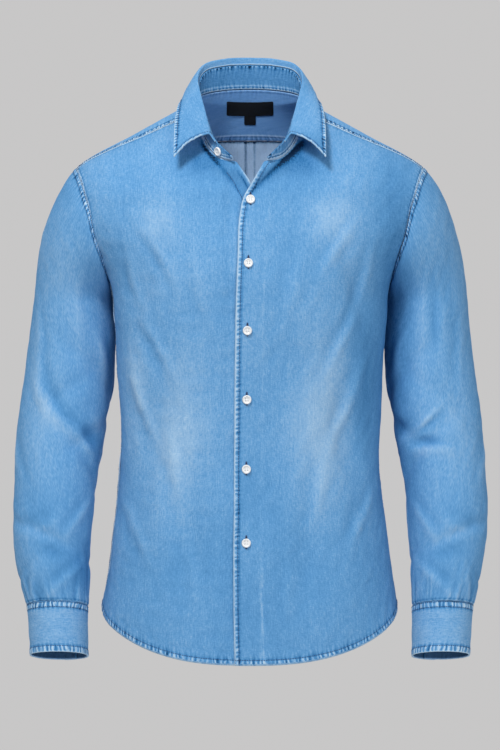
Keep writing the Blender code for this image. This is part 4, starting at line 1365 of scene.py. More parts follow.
def sleeve_ring(row, phi):
    """A tilted oval. phi: 0 on the outer side, 90 degrees in front, 180 next to the body."""
    x, y, z, half_x, half_y, tilt = (np.asarray(value)[..., None] for value in row)
    lean = np.radians(tilt)
    fore = half_y * np.sin(phi)
    return np.stack([x + half_x * np.cos(phi), y - fore * np.cos(lean), z + fore * np.sin(lean)], -1)


def sleeve_folds(along, turn):
    """Grooves round the arm: depth * exp(-off^2) * exp(-1.5 around^2)."""
    total = np.zeros(np.broadcast(along, turn).shape)
    for place, middle, reach, slant, width, depth in SLEEVE_FOLDS:
        around = (turn - middle + 180.0) % 360.0 - 180.0
        off = (along - place - slant * around) / width
        total += depth * bell(off, 1.0) * bell(around / reach, math.sqrt(2 / 3))
    return total


def sleeve_form():
    """Rows from the armhole to the cuff, columns round the arm from the underarm seam."""
    turns = np.linspace(-180.0, 180.0, SLEEVE_COLUMNS, endpoint=False)
    phi = np.radians(turns)
    at = np.linspace(0, len(SLEEVE) - 1, SLEEVE_ARM_ROWS)
    rings = [through(np.arange(len(SLEEVE)), SLEEVE[:, column], at) for column in range(6)]
    arm = sleeve_ring(rings, phi)
    start = body_point(*armhole(turns))
    high = (1 + np.cos(phi)) / 2
    leave = unit(np.stack([-0.22 + 0.96 * high, -0.22 * np.sin(phi), -0.95 + 0.28 * high], -1))
    start = start + 0.0003 * leave
    arrive = unit(arm[1] - arm[0])
    reach = np.linalg.norm(arm[0] - start, axis=-1, keepdims=True)
    f = np.linspace(0.0, 1.0, SLEEVE_CAP_ROWS, endpoint=False)[:, None, None]
    cap = cubic(f, start, reach * CAP_FULL * leave, arm[0], reach * arrive)
    points = np.concatenate([cap, arm])
    along = np.concatenate([CAP_END * f[:, 0, 0], CAP_END + (1 - CAP_END) * at / at[-1]])[:, None]
    way = unit(points - points.mean(1, keepdims=True))
    shift = -sleeve_folds(along, turns) * smoothstep(along / 0.2)
    return points + way * shift[..., None], turns


print("sleeve grid:", sleeve_form()[0].shape)

# %% [markdown]
# The elbow of a worn sleeve has creases that keep their place, and each sleeve has its own.
# The tables give them by the length round the arm from its outer side and by the height.
# Just above the cuff the cloth is gathered: a wave round the arm that fades out upwards.

# %% The sleeve's finish
ARC_PER_DEGREE = 0.00098      # metres round the arm for one degree of turn
ELBOW_CREASES = {
    # round  z       angle  length  width   height   bend
    "right": ((0.080, -0.404, 127.3, 0.080, 0.0085, -0.0034, 0.32),
              (0.135, -0.465, -41.9, 0.034, 0.0055, 0.0019, 0.05),
              (0.142, -0.452, -30.0, 0.030, 0.0090, -0.0030, 0.0)),
    "left": ((0.104, -0.427, 140.0, 0.032, 0.0036, 0.0026, 0.10),
             (0.112, -0.457, 176.0, 0.036, 0.0060, -0.0034, -0.12),
             (0.150, -0.440, 160.0, 0.030, 0.0090, -0.0024, 0.0),
             (0.082, -0.300, 92.0, 0.060, 0.0060, -0.0018, 0.05)),
}
SLEEVE_CREASES = (
    # round  z       angle  length  width   height   bend
    (0.095, -0.598, -12.0, 0.032, 0.0100, -0.0024, 0.1),
    (0.108, -0.637, 31.6, 0.055, 0.0070, 0.0019, 0.05),
    (0.047, -0.646, 65.0, 0.028, 0.0050, 0.0014, 0.0),
    (0.075, -0.570, 20.0, 0.040, 0.0080, 0.0014, -0.1),
    (0.130, -0.560, 50.0, 0.040, 0.0070, 0.0016, 0.1),
    (0.045, -0.330, -80.0, 0.070, 0.0060, 0.0011, 0.05),
    (0.100, -0.300, -84.0, 0.070, 0.0090, 0.0014, -0.05),
    (0.140, -0.350, -70.0, 0.060, 0.0080, 0.0021, 0.1),
    (0.020, -0.480, -60.0, 0.050, 0.0080, 0.0014, 0.1),
    (-0.080, -0.400, 48.0, 0.070, 0.0090, 0.0027, 0.25),
    (-0.120, -0.450, 36.0, 0.050, 0.0080, 0.0024, -0.10),
    (-0.140, -0.480, 20.0, 0.040, 0.0080, -0.0024, 0.0),
    (-0.070, -0.520, 60.0, 0.050, 0.0080, 0.0016, 0.1),
    (-0.110, -0.600, -28.0, 0.045, 0.0080, 0.0021, 0.05),
    (-0.050, -0.630, -60.0, 0.035, 0.0060, 0.0014, 0.0),
    (-0.090, -0.290, 82.0, 0.060, 0.0090, 0.0014, 0.1),
    (-0.030, -0.350, 70.0, 0.060, 0.0080, 0.0011, 0.0),
)
GATHER_PITCH = 0.0135
GATHER_HEIGHT = 0.030
SEAM_HALF = 0.004             # half the underarm seam's width
SLEEVE_BAND = 0.0068


def finish_sleeve(side, sign, seed):
    points, turns = sleeve_form()
    points = points * np.array([sign, 1.0, 1.0])
    round_flat = np.broadcast_to((turns + 180.0) * ARC_PER_DEGREE, points.shape[:2])
    piece = piece_from(points, (sign * 0.245, 0.0, -0.45), closed=True,
                       flat=np.stack([round_flat, steps(points, 0)], -1))
    z = points[..., 2]
    soften(piece, seed, broad=0.0008)
    arc = np.broadcast_to(turns, z.shape) * ARC_PER_DEGREE
    # A tint of 1.7 makes the painted shade in the sleeves' crease hollows, and the wear on their
    # ridges, stronger.
    creases(piece, arc, z, ELBOW_CREASES[side] + SLEEVE_CREASES, tint=1.7)
    away, round_arm = from_border(points, "bottom")
    gather = pucker(away * 0.25, round_arm, seed + 1, pitch=GATHER_PITCH) * bell(away, GATHER_HEIGHT)
    piece["height"] += 0.0013 * gather
    piece["wash"] += 0.35 * gather
    piece["height"] *= smoothstep(from_border(points, "top")[0] / 0.05)
    sew(piece, "top", SLEEVE_BAND, seed + 2, rise=0.0009, wave=0.0006, wear_and_shade_amount=1.0, fade=0.010)
    sew(piece, "bottom", TUCK, seed + 3, rise=-0.0004, wave=0.0004, wear_and_shade_amount=0.8, fade=0.008, rim_wear_and_shade=0.3)
    under = np.abs(np.abs(turns) - 180.0) * ARC_PER_DEGREE + 0 * z
    piece["height"] += 0.0004 * bell(under**2, SEAM_HALF**2)
    piece["wash"] += 0.35 * bell(under - SEAM_HALF, 0.0015)
    return raise_cloth(piece)


SLEEVES = {}
for side, sign, seed in (("left", 1.0, 71), ("right", -1.0, 81)):
    SLEEVES[side] = finish_sleeve(side, sign, seed)
    item = cloth_wall(f"sleeve_{side}", SLEEVES[side], [OUTSIDE, INSIDE])
    print("sleeve", side, "faces:", len(item.data.polygons))

# %% [markdown]
# ## Cuffs
# A cuff is two layers of cloth turned under at every edge. It wraps the wrist once and laps
# over itself behind, where its button is. The sleeve's opening above it is bound by a strip,
# the placket, which starts from the sleeve's own points, so it lies on them.

# %% The cuffs
CUFF_TOP = (0.2548, -0.0421, -0.67335, 0.0392, 0.0402)
CUFF_END = (0.2514, -0.0595, -0.7375, 0.0374, 0.0390)
CUFF_TILT = 14.5
CUFF_BEGIN = 236.0            # degrees round the wrist where the lower end starts
CUFF_LAP = 26.0
CUFF_COLUMNS = 170
CUFF_ROWS = 46
CUFF_BAND = 0.0078
CUFF_STITCH = 0.0080
CUFF_SIDE = 0.0060
CUFF_EDGES = (
    # border, band, wave, rim: pale wear above 0, painted shade below 0
    ("top", CUFF_BAND, 0.0007, -0.5),
    ("bottom", CUFF_STITCH, 0.0005, 1.0),
    ("left", CUFF_SIDE, 0.0004, -0.9),
    ("right", CUFF_SIDE, 0.0004, 0.9),
)


def cuff_form():
    """Rows from the sleeve down, columns round the wrist and past the start by the lap."""
    share = dense(0.0, 1.0, CUFF_COLUMNS, 0.2)
    phi = np.radians(CUFF_BEGIN + share * (360.0 + CUFF_LAP))
    out = (BAND + 0.0010) * smoothstep((share - 0.72) / 0.18)
    f = dense(0.0, 1.0, CUFF_ROWS, 0.45)
    row = [a + f * (b - a) for a, b in zip(CUFF_TOP, CUFF_END)]
    row[3], row[4] = row[3][:, None] + out, row[4][:, None] + out
    lean = math.radians(CUFF_TILT)
    fore = row[4] * np.sin(phi)
    x, y, z = (value[:, None] for value in row[:3])
    return np.stack([x + row[3] * np.cos(phi), y - fore * math.cos(lean),
                     z + fore * math.sin(lean)], -1)


def finish_cuff(sign, seed):
    points = cuff_form() * np.array([sign, 1.0, 1.0])
    piece = piece_from(points, (sign * 0.25, -0.05, -0.70), flat=cross_flat(points))
    soften(piece, seed, broad=0.0004)
    piece["wash"] += 0.16
    for number, (border, band, wave, rim) in enumerate(CUFF_EDGES, 1):
        sew(piece, border, band, seed + number, 0.0005, wave, wear_and_shade_amount=1.0, fade=0.006, rim_wear_and_shade=rim)
    # The inside of the cuff is painted shade all over, with a pale rim along its bottom edge.
    piece["inner_wash"] = 1.5 * bell(from_border(points, "bottom")[0], 0.0013) - 0.85
    piece["inner_marks"] = 0.0
    return raise_cloth(piece)


CUFFS = {}
for side, sign, seed in (("left", 1.0, 91), ("right", -1.0, 101)):
    CUFFS[side] = finish_cuff(sign, seed)
    item = cloth_wall(f"cuff_{side}", CUFFS[side], [OUTSIDE, CUFF_LINING], wall=BAND)
    print("cuff", side, "faces:", len(item.data.polygons))

# %% [markdown]
# A placket strip is cut out of the sleeve's finished grid, with more columns put between its
# own. Stepped out along the sleeve's normals it follows every fold of the cloth below it.

# %% The sleeve plackets
PLACKET_TURN = (-102.0, -78.0)
PLACKET_Z = (-0.497, -0.6655)
PLACKET_COLUMNS = 15
PLACKET_LIFT = CLOTH + 0.0009


def finish_placket(side, sign, seed):
    """A strip of the sleeve's own surface, moved out by a little more than the cloth."""
    sleeve = SLEEVES[side]["points"]
    turns = np.linspace(-180.0, 180.0, SLEEVE_COLUMNS, endpoint=False)
    column = np.searchsorted(turns, PLACKET_TURN)
    middle_z = sleeve[:, column[0]:column[1]].mean(1)[:, 2]
    row = np.searchsorted(-middle_z, [-PLACKET_Z[0], -PLACKET_Z[1]])
    patch = sleeve[row[0]:row[1], column[0]:column[1] + 1]
    way = (normals(sleeve, True) * SLEEVES[side]["facing"])[row[0]:row[1], column[0]:column[1] + 1]
    fine = patch + way * PLACKET_LIFT
    at = np.linspace(0, fine.shape[1] - 1, PLACKET_COLUMNS)
    left = np.floor(at).astype(int).clip(0, fine.shape[1] - 2)
    fine = fine[:, left] + (at - left)[None, :, None] * (fine[:, left + 1] - fine[:, left])
    piece = piece_from(fine, (sign * 0.255, -0.02, -0.58))
    for number, border in enumerate(("left", "right", "top"), 1):
        sew(piece, border, 0.0035, seed + number, 0.0004, 0.0004, wear_and_shade_amount=1.0, fade=0.006)
    return raise_cloth(piece)


PLACKETS = {}
for side, sign, seed in (("left", 1.0, 111), ("right", -1.0, 121)):
    PLACKETS[side] = finish_placket(side, sign, seed)
    item = cloth_wall(f"sleeve_placket_{side}", PLACKETS[side], [OUTSIDE, INSIDE])
print("plackets:", len(PLACKETS))

# %% [markdown]
# ## The collar
# A shirt collar has two parts. The stand is a band that is sewn to the neckline and buttons
# at the front. The leaf is sewn to the stand's top, rolls over and falls to its two points.
# One table, with a row for each place from the middle of the back to the front, gives the
# roll, the leaf's lower edge and the stand's top, and smooth curves run through its rows.

# %% The collar's table
COLLAR = np.array([
    # t     roll_x  roll_y  roll_z  edge_x  edge_y  edge_z  stand_x stand_y stand_z  neck_turn
    [0.00, 0.0000, 0.067, 0.0645, 0.0000, 0.087, 0.0150, 0.0000, 0.065, 0.0540, -90.0],
    [0.20, 0.0330, 0.061, 0.0620, 0.0400, 0.084, 0.012, 0.0325, 0.059, 0.0515, -62.0],
    [0.35, 0.0610, 0.043, 0.0525, 0.0720, 0.064, 0.003, 0.0585, 0.041, 0.0430, -36.0],
    [0.50, 0.0715, 0.015, 0.0325, 0.0890, 0.029, -0.001, 0.0690, 0.014, 0.0235, -12.0],
    [0.65, 0.0670, -0.016, 0.0060, 0.0950, -0.010, -0.008, 0.0645, -0.016, -0.0020, 9.0],
    [0.80, 0.0598, -0.051, -0.0238, 0.0985, -0.049, -0.031, 0.0555, -0.052, -0.0330, 36.0],
    [0.92, 0.0550, -0.082, -0.0482, 0.0990, -0.081, -0.057, 0.0475, -0.084, -0.0590, 56.0],
    [1.00, 0.0542, -0.095, -0.0545, 0.0985, -0.106, -0.0866, 0.0435, -0.098, -0.0665, 69.0],
])
STAND_TIP = (0.0240, -0.1124, -0.0868)
STAND_LIFT = 0.0014
STAND_STITCH = 0.0026
STAND_RIM = 0.0030
STAND_SECOND = 0.0046         # how far the second pale line lies from the stand's top
STAND_COLUMNS = 84            # columns of each half that lie below the leaf
STAND_END_COLUMNS = 26        # and past it, in the rounded end
STAND_ROWS = 22
LEAF_STITCH = 0.0046
NECK = (0.0, 0.0, 0.0)


def collar_line(columns, at):
    """Smooth curves through some of the table's columns, at shares of its length."""
    return np.stack([through(COLLAR[:, 0], COLLAR[:, column], at) for column in columns], -1)


def both_sides(points):
    """A grid that starts on the centre line, joined to its mirror image there."""
    return np.concatenate([mirrored(points)[:, :-1], points], 1)


def stand_form():
    """Rows from the neckline up, columns from the middle of the back to the rounded end."""
    at = np.concatenate([np.linspace(0.0, 1.0, STAND_COLUMNS), np.ones(STAND_END_COLUMNS)])
    end = np.linspace(0.0, 1.0, STAND_END_COLUMNS + 1)[1:]
    end = np.concatenate([np.zeros(STAND_COLUMNS), end])
    psi = collar_line((10,), at)[:, 0]
    psi = psi + (NECK_CORNER - psi) * end
    turn, z = neckline(psi)
    base = body_point(turn, z, lapel(body_point(turn, z)[:, 0], z))
    top = collar_line((7, 8, 9), at)
    top = top + (np.array(STAND_TIP) - top) * smoothstep(end)[:, None]
    rise = top - base
    base = base + STAND_LIFT * unit(rise)
    f = dense(0.0, 1.0, STAND_ROWS, 0.35)[:, None, None]
    return both_sides(base + (top - base) * f)


def finish_stand():
    points = stand_form()
    piece = piece_from(points, NECK, flat=cross_flat(points))
    # The stand's bottom rim meets the neckline in shade, so it gets painted shade.
    sew(piece, "bottom", STAND_STITCH, 131, rise=0.0004, wave=0.0004, wear_and_shade_amount=0.4, fade=0.012,
        rim_wear_and_shade=-0.6, marks=2.5)
    sew(piece, "top", STAND_RIM, 132, rise=0.0003, wave=0.0004, wear_and_shade_amount=1.2, fade=0.010,
        rim_wear_and_shade=1.2, rim_width=0.0019, marks=0.6)
    # The stand is lightened all over as painted light against the leaf's shadow, with a pale line below
    # its top.
    piece["wash"] += 0.15 + 1.4 * bell(from_border(points, "top")[0] - STAND_SECOND, 0.0011)
    for border, seed in (("left", 133), ("right", 134)):
        sew(piece, border, STAND_RIM, seed, rise=0.0003, wave=0.0003, wear_and_shade_amount=1.0, fade=0.005)
    # The stand's inner face is darker: painted shade inside the collar.
    piece["inner_wash"], piece["inner_marks"] = piece["wash"] - 0.50, 1.5
    return raise_cloth(piece)


STAND = finish_stand()
item = cloth_wall("collar_stand", STAND, [OUTSIDE, OUTSIDE], wall=BAND)
print("stand faces:", len(item.data.polygons))

# %% [markdown]
# The leaf turns over at the roll, so one smooth curve for each column runs from the stand's
# top over the roll and down to the edge, a little bulged as pressed cloth is. Seven points set
# the curve. LEAF_KEYS gives their places along it, and LEAF_FALL says how far down from the
# roll to the edge the last five are.

# %% The leaf
LEAF_KEYS = (0.0, 0.14, 0.22, 0.40, 0.60, 0.80, 1.0)
LEAF_FALL = (0.10, 0.32, 0.55, 0.78, 1.0)
LEAF_COLUMNS = 116
LEAF_ROWS = 52
LEAF_START = 0.06             # share of the way from the stand's top to the roll
LEAF_BULGE = 0.006
LEAF_PAST_ROLL = 0.02         # length of the leaf's end that the roll takes up


def leaf_form():
    """Rows from the stand up, over the roll and down; columns from the back to the point."""
    at = dense(0.0, 1.0, LEAF_COLUMNS, 0.2)
    top, roll, edge = (collar_line(columns, at) for columns in ((7, 8, 9), (1, 2, 3), (4, 5, 6)))
    start = top + (roll - top) * LEAF_START + np.array([0.0, 0.0, 0.0003])
    away = unit((edge - roll) * [1.0, 1.0, 0.0])
    bulge = away * LEAF_BULGE + np.array([0.0, 0.0, 0.002])
    rows = [start, roll - away * 0.0005]
    rows += [roll + (edge - roll) * f + bulge * math.sin(math.pi * min(f + 0.06, 1.0))
             for f in LEAF_FALL]
    rows, share = np.stack(rows), dense(0.0, 1.0, LEAF_ROWS, 0.3)
    line = np.stack([through(LEAF_KEYS, row, share) for row in rows.reshape(len(rows), -1).T], -1)
    return both_sides(line.reshape(len(share), *rows.shape[1:]))


def finish_leaf():
    points = leaf_form()
    piece = piece_from(points, NECK, flat=cross_flat(points))
    piece["facing"] = -facing(points[:6], False, NECK)
    soften(piece, 141, broad=0.0003, fine=0.00015)
    sew(piece, "bottom", LEAF_STITCH, 142, rise=0.0007, wave=0.00045, wear_and_shade_amount=1.1, fade=0.006)
    for border, seed in (("left", 143), ("right", 144)):
        past_roll = smoothstep((from_border(points, border)[1] - LEAF_PAST_ROLL) / 0.01)
        sew(piece, border, LEAF_STITCH, seed, rise=0.0007, wave=0.00045, wear_and_shade_amount=1.1, fade=0.006,
            where=past_roll, marks=0.65)
    piece["wash"] += 1.5 * bell(from_border(points, "top")[0], 0.0011)
    return raise_cloth(piece)


LEAF = finish_leaf()
item = cloth_wall("collar_leaf", LEAF, [OUTSIDE, OUTSIDE], wall=BAND)
print("leaf faces:", len(item.data.polygons))

# %% [markdown]
# ## Buttons
# A shirt button is turned from shell or resin: a raised rim round a shallow dish with four
# holes, and thread through them. Its face is one surface in polar rings, whose height comes
# from a profile of the radius, less a pit at each hole. The back is the same rings, flat.

# %% The button's shape and shell
BUTTON_R = 0.0060
BUTTON_THICK = 0.0024
HOLE_R = 0.00075
HOLE_PLACE = 0.00155
BUTTON_RINGS = 20
BUTTON_SPOKES = 56
HOLE_DEPTH = 0.0011
BACK_SIZE = 0.94              # the flat back is this much smaller than the face


def button_material():
    nodes = Nodes("button")
    where = nodes.add("ShaderNodeTexCoord").outputs["Object"]
    cloud = nodes.noise(where, 260.0, 3.0, 0.6)
    ramp = nodes.add("ShaderNodeValToRGB")
    nodes.link(cloud, ramp.inputs["Fac"])
    ramp.color_ramp.elements[0].color = (0.72, 0.73, 0.74, 1.0)
    ramp.color_ramp.elements[1].color = (0.93, 0.92, 0.90, 1.0)
    nodes.link(ramp.outputs["Color"], nodes.shader.inputs["Base Color"])
    nodes.shader.inputs["Roughness"].default_value = 0.28
    nodes.shader.inputs["Coat Weight"].default_value = 0.35
    nodes.shader.inputs["Subsurface Weight"].default_value = 0.08
    nodes.shader.inputs["Subsurface Radius"].default_value = (0.002, 0.002, 0.002)
    return nodes.material


def button_shape():
    """Corners and faces of a button that faces +Z: radius rings times turns round the axis."""
    radius = np.concatenate([[0.0], dense(0.04, 1.0, BUTTON_RINGS - 1, 0.4)])
    turn = np.linspace(0.0, 2 * math.pi, BUTTON_SPOKES, endpoint=False)
    r, t = np.meshgrid(radius * BUTTON_R, turn, indexing="ij")
    x, y = r * np.cos(t), r * np.sin(t)
    share = r / BUTTON_R
    rim = smoothstep((share - 0.60) / 0.14) * (1 - smoothstep((share - 0.86) / 0.14))
    height = BUTTON_THICK * (0.62 + 0.38 * rim - 0.30 * smoothstep((share - 0.90) / 0.10))
    for side_x in (-1, 1):
        for side_y in (-1, 1):
            away = np.hypot(x - side_x * HOLE_PLACE, y - side_y * HOLE_PLACE)
            height = height - HOLE_DEPTH * (1 - smoothstep((away - 0.6 * HOLE_R) / (0.6 * HOLE_R)))
    front = np.stack([x, y, height - BUTTON_THICK / 2], -1)
    back = np.stack([x * BACK_SIZE, y * BACK_SIZE, 0 * x - BUTTON_THICK / 2], -1)
    points = np.concatenate([front, back[::-1]])
    index = grid_index(len(points), BUTTON_SPOKES, ring_cols=True)
    return points.reshape(-1, 3), quads(index, turned=True)


SHELL = button_material()
print("a button has", len(button_shape()[1]), "faces")

# %% [markdown]
# Each button stands on its cloth and faces the way the cloth does. The table of shifts places
# it within 5 mm of its solid, because the cloth here is a little different from the solid.
# Two lines of thread cross the holes, made as the stitches are.

# %% Buttons on their cloth
BUTTON_SHIFTS = {
    # across, up
    "button_1": (0.0015, -0.0026),
    "button_2": (0.0, -0.0023),
    "button_3": (0.0, -0.0008),
    "button_4": (0.0006, 0.0008),
    "button_6": (0.0, 0.0028),
    "button_collar": (0.0026, -0.0046),
}
BUTTON_LIFT = BUTTON_THICK / 2 + 0.0006


def frame_of(way, up=(0.0, 0.0, 1.0)):
    """Three unit columns: across, up and out, for something that faces along way."""
    out = unit(np.asarray(way))
    side = unit(np.cross(up, out))
    return np.stack([side, np.cross(out, side), out], -1)


def nearest_way(piece, spot):
    """The outward direction of a piece at its point nearest to a spot."""
    way = normals(piece["points"], piece["closed"]) * piece["facing"]
    gap = np.linalg.norm(piece["points"] - spot, axis=-1)
    row, column = np.unravel_index(gap.argmin(), gap.shape)
    window = way[max(row - 3, 0):row + 4, max(column - 3, 0):column + 4]
    return window.mean((0, 1)), piece["points"][row, column]


def place_on(node, piece, lift):
    """A solid's middle, shifted, and moved along the cloth's direction to lie lift above it."""
    across, up = BUTTON_SHIFTS.get(node, (0.0, 0.0))
    spot = np.mean(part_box(node), axis=0) + [across, 0.0, up]
    way, point = nearest_way(piece, spot)
    out = unit(way)
    return spot + out * (lift - np.dot(spot - point, out)), way


def add_button(node, piece):
    """The button in place of its node; returns the two lines of thread across its holes."""
    spot, way = place_on(node, piece, BUTTON_LIFT)
    turned = frame_of(way)
    points, faces = button_shape()
    name = node + "_turned"
    item = add_object(name, new_mesh(name, points @ turned.T + spot, faces), [SHELL])
    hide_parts(node)
    threads = []
    for side in (-1, 1):
        ends = np.array([[side * HOLE_PLACE, -HOLE_PLACE, 0.0], [side * HOLE_PLACE, HOLE_PLACE, 0.0]])
        line = ends @ turned.T + spot + turned[:, 2] * (BUTTON_THICK * 0.14)
        threads.append((line, np.repeat(turned[:, 2][None], 2, 0)))
    return threads


BUTTON_THREAD = plain_material("button_thread", (0.74, 0.78, 0.84, 1.0), 0.6)
button_lines = []
for number in range(1, 7):
    button_lines += add_button(f"button_{number}", FRONTS["front_left"])
button_lines += add_button("button_collar", STAND)
for side in ("left", "right"):
    button_lines += add_button(f"button_cuff_{side}", CUFFS[side])
add_thread("button_threads", button_lines, BUTTON_THREAD, pitch=0.0031, span=0.0034, radius=0.00042)

# %% [markdown]
# ## Buttonholes
# A buttonhole is a slit with tight stitches all round it. The rim is a narrow tube that runs
# round a long oval, with ridges as close as its stitches, and inside it a dark lens is the
# slit's painted shade. The front buttonholes are upright, the ones on the cuffs lie along their bands.

# %% Buttonholes
HOLE_HALF_LENGTH = 0.0088
HOLE_HALF_WIDTH = 0.00125
HOLE_RIM = 0.00062
RIM_POINTS, RIM_SIDES, RIM_RIDGES = 220, 6, 48
SLIT_POINTS = 40
SLIT_RINGS = ((0.0, 0.0003), (1.0, 0.0002), (1.0, -0.0004), (0.0, -0.0004))


def oval(turn, half_length, half_width):
    """A long oval with full ends: width * sign(cos) * |cos|^0.6, length * sin."""
    c, s = np.cos(turn), np.sin(turn)
    return half_width * np.sign(c) * np.abs(c) ** 0.6, half_length * s


def buttonhole_shape():
    """Corners and faces of the rim, facing +Z and long along Y: a tube round the oval."""
    turn = np.linspace(0.0, 2 * math.pi, RIM_POINTS, endpoint=False)[:, None]
    around = np.linspace(0.0, 2 * math.pi, RIM_SIDES, endpoint=False)[None]
    x, y = oval(turn, HOLE_HALF_LENGTH, HOLE_HALF_WIDTH)
    thick = HOLE_RIM * (1.0 + 0.22 * np.sin(turn * RIM_RIDGES))
    out_x, out_y = np.cos(turn), 0.5 * np.sin(turn)
    rim = np.stack([x + thick * np.cos(around) * out_x, y + thick * np.cos(around) * out_y,
                    0.6 * thick * np.sin(around) + 0 * x], -1)
    index = grid_index(RIM_POINTS, RIM_SIDES, ring_rows=True, ring_cols=True)
    return rim.reshape(-1, 3), quads(index, turned=True)


def slit_shape():
    """The slit's painted shade: a thin dark lens. SLIT_RINGS gives the size and the height of each ring
    of it.
    """
    turn = np.linspace(0.0, 2 * math.pi, SLIT_POINTS, endpoint=False)
    x, y = oval(turn, HOLE_HALF_LENGTH * 0.93, HOLE_HALF_WIDTH * 0.6)
    points = np.stack([np.stack([x * f, y * f, 0 * x + up], -1) for f, up in SLIT_RINGS])
    index = grid_index(len(SLIT_RINGS), SLIT_POINTS, ring_cols=True)
    return points.reshape(-1, 3), quads(index, turned=True)


def hole_spots():
    """Where each buttonhole is: its middle, the way it faces, and the direction it runs."""
    spots = []
    for number in range(1, 7):
        spot, way = place_on(f"button_{number}", FRONTS["front_left"], 0.0)
        spots.append((spot + [0.0, 0.0, 0.0012], way, (0.0, 0.0, 1.0)))
    for side in ("left", "right"):
        spot, way = place_on(f"button_cuff_{side}", CUFFS[side], 0.0)
        spots.append((spot, way, np.cross(way, (0.0, 0.0, 1.0))))
    return spots


def add_at_holes(name, shape, faces, paint, lift):
    """One mesh with a copy of a shape at every buttonhole, turned to face as the cloth does."""
    corners = []
    for spot, way, along in hole_spots():
        turned = frame_of(way, along)
        corners.append(shape @ turned.T + spot + turned[:, 2] * lift)
    joined = np.concatenate([faces + number * len(shape) for number in range(len(corners))])
    item = add_object(name, new_mesh(name, np.concatenate(corners), joined), [paint])
    print(name, "at", len(corners), "places")


HOLE_THREAD = plain_material("buttonhole_thread", (0.055, 0.115, 0.260, 1.0), 0.65)
# The slit is a dark sheet of painted shade.
SLIT_SHADE = plain_material("buttonhole_slit_shade", (0.010, 0.020, 0.050, 1.0), 0.9)
add_at_holes("buttonholes", *buttonhole_shape(), HOLE_THREAD, 0.0003)
add_at_holes("buttonhole_slits", *slit_shape(), SLIT_SHADE, 0.0002)

# %% [markdown]
# ## Neck label and size tab
# The label is a strip of black satin tape, turned under at its ends and sewn inside the yoke,
# with a small tab below it. Both are bare. They lie on the yoke's inner face, so their form is
# the body's form a little further in, and their corners are rounded by narrowing the end rows.

# %% Tapes
LABEL_SIZE = (0.0655, 0.0181)
LABEL_TOP_Z = 0.0045
TAB_SIZE = (0.016, 0.0122)
TAPE = 0.0008
TAPE_INSET = CLOTH + 0.0011
TAPE_ROUND = 0.0016
TAPE_ROWS, TAPE_COLUMNS = 18, 36
TAPE_MIDDLE = (0.0, 0.30, 0.0)


def tape_material():
    """Black satin: fine level ribs in the bump, and a soft sheen."""
    nodes = Nodes("tape")
    flat = nodes.add("ShaderNodeUVMap", uv_map="cloth").outputs["UV"]
    ribs = nodes.noise(nodes.stretched(flat, (300.0, 4200.0, 1.0)), 1.0, 2.0)
    ramp = nodes.add("ShaderNodeValToRGB")
    nodes.link(ribs, ramp.inputs["Fac"])
    ramp.color_ramp.elements[0].color = (0.0015, 0.0022, 0.0036, 1.0)
    ramp.color_ramp.elements[1].color = (0.008, 0.010, 0.014, 1.0)
    nodes.link(ramp.outputs["Color"], nodes.shader.inputs["Base Color"])
    bump = nodes.add("ShaderNodeBump")
    bump.inputs["Strength"].default_value = 0.3
    bump.inputs["Distance"].default_value = 0.0003
    nodes.link(ribs, bump.inputs["Height"])
    nodes.link(bump.outputs["Normal"], nodes.shader.inputs["Normal"])
    nodes.shader.inputs["Roughness"].default_value = 0.62
    nodes.shader.inputs["Specular IOR Level"].default_value = 0.2
    return nodes.material


def tape_form(size, top_z):
    """Rows down the tape, columns across it, on the inner side of the back's form."""
    width, height = size
    down = dense(0.0, 1.0, TAPE_ROWS, 0.6)[:, None]
    edge = np.minimum(down, 1 - down) * height
    short = np.maximum(TAPE_ROUND - edge, 0)
    corner = TAPE_ROUND - np.sqrt(np.maximum(TAPE_ROUND**2 - short**2, 0))
    x = (width / 2 - corner) * dense(-1.0, 1.0, TAPE_COLUMNS, 0.6)
    z = top_z - height * down + 0 * x
    points = body_point(turn_of_x(np.abs(x), z, front=False), z, -TAPE_INSET)
    points[..., 0] *= np.sign(x)
    return points


BLACK_TAPE = tape_material()
TAPES = {}
for name, size, top in (("neck_label", LABEL_SIZE, LABEL_TOP_Z),
                        ("size_tab", TAB_SIZE, LABEL_TOP_Z - LABEL_SIZE[1] + 0.0004)):
    points = tape_form(size, top)
    TAPES[name] = piece_from(points, TAPE_MIDDLE)
    TAPES[name]["height"] += 0.00012 * ripples(points[..., 0], points[..., 2], 0.03, 151)
    raise_cloth(TAPES[name])
    item = cloth_wall(name, TAPES[name], [BLACK_TAPE], wall=TAPE)
    print(name, "is", [round(1000 * value, 1) for value in size], "mm")

# %% [markdown]
# ## The rows of stitches
# Now every seam gets its thread. The table names a piece, a border, how far the row lies from
# it, and the share of the border's length that it runs. Most thread is a dark blue that the
# wash didn't fade, so the rows read as fine dark lines between the pale puckers.

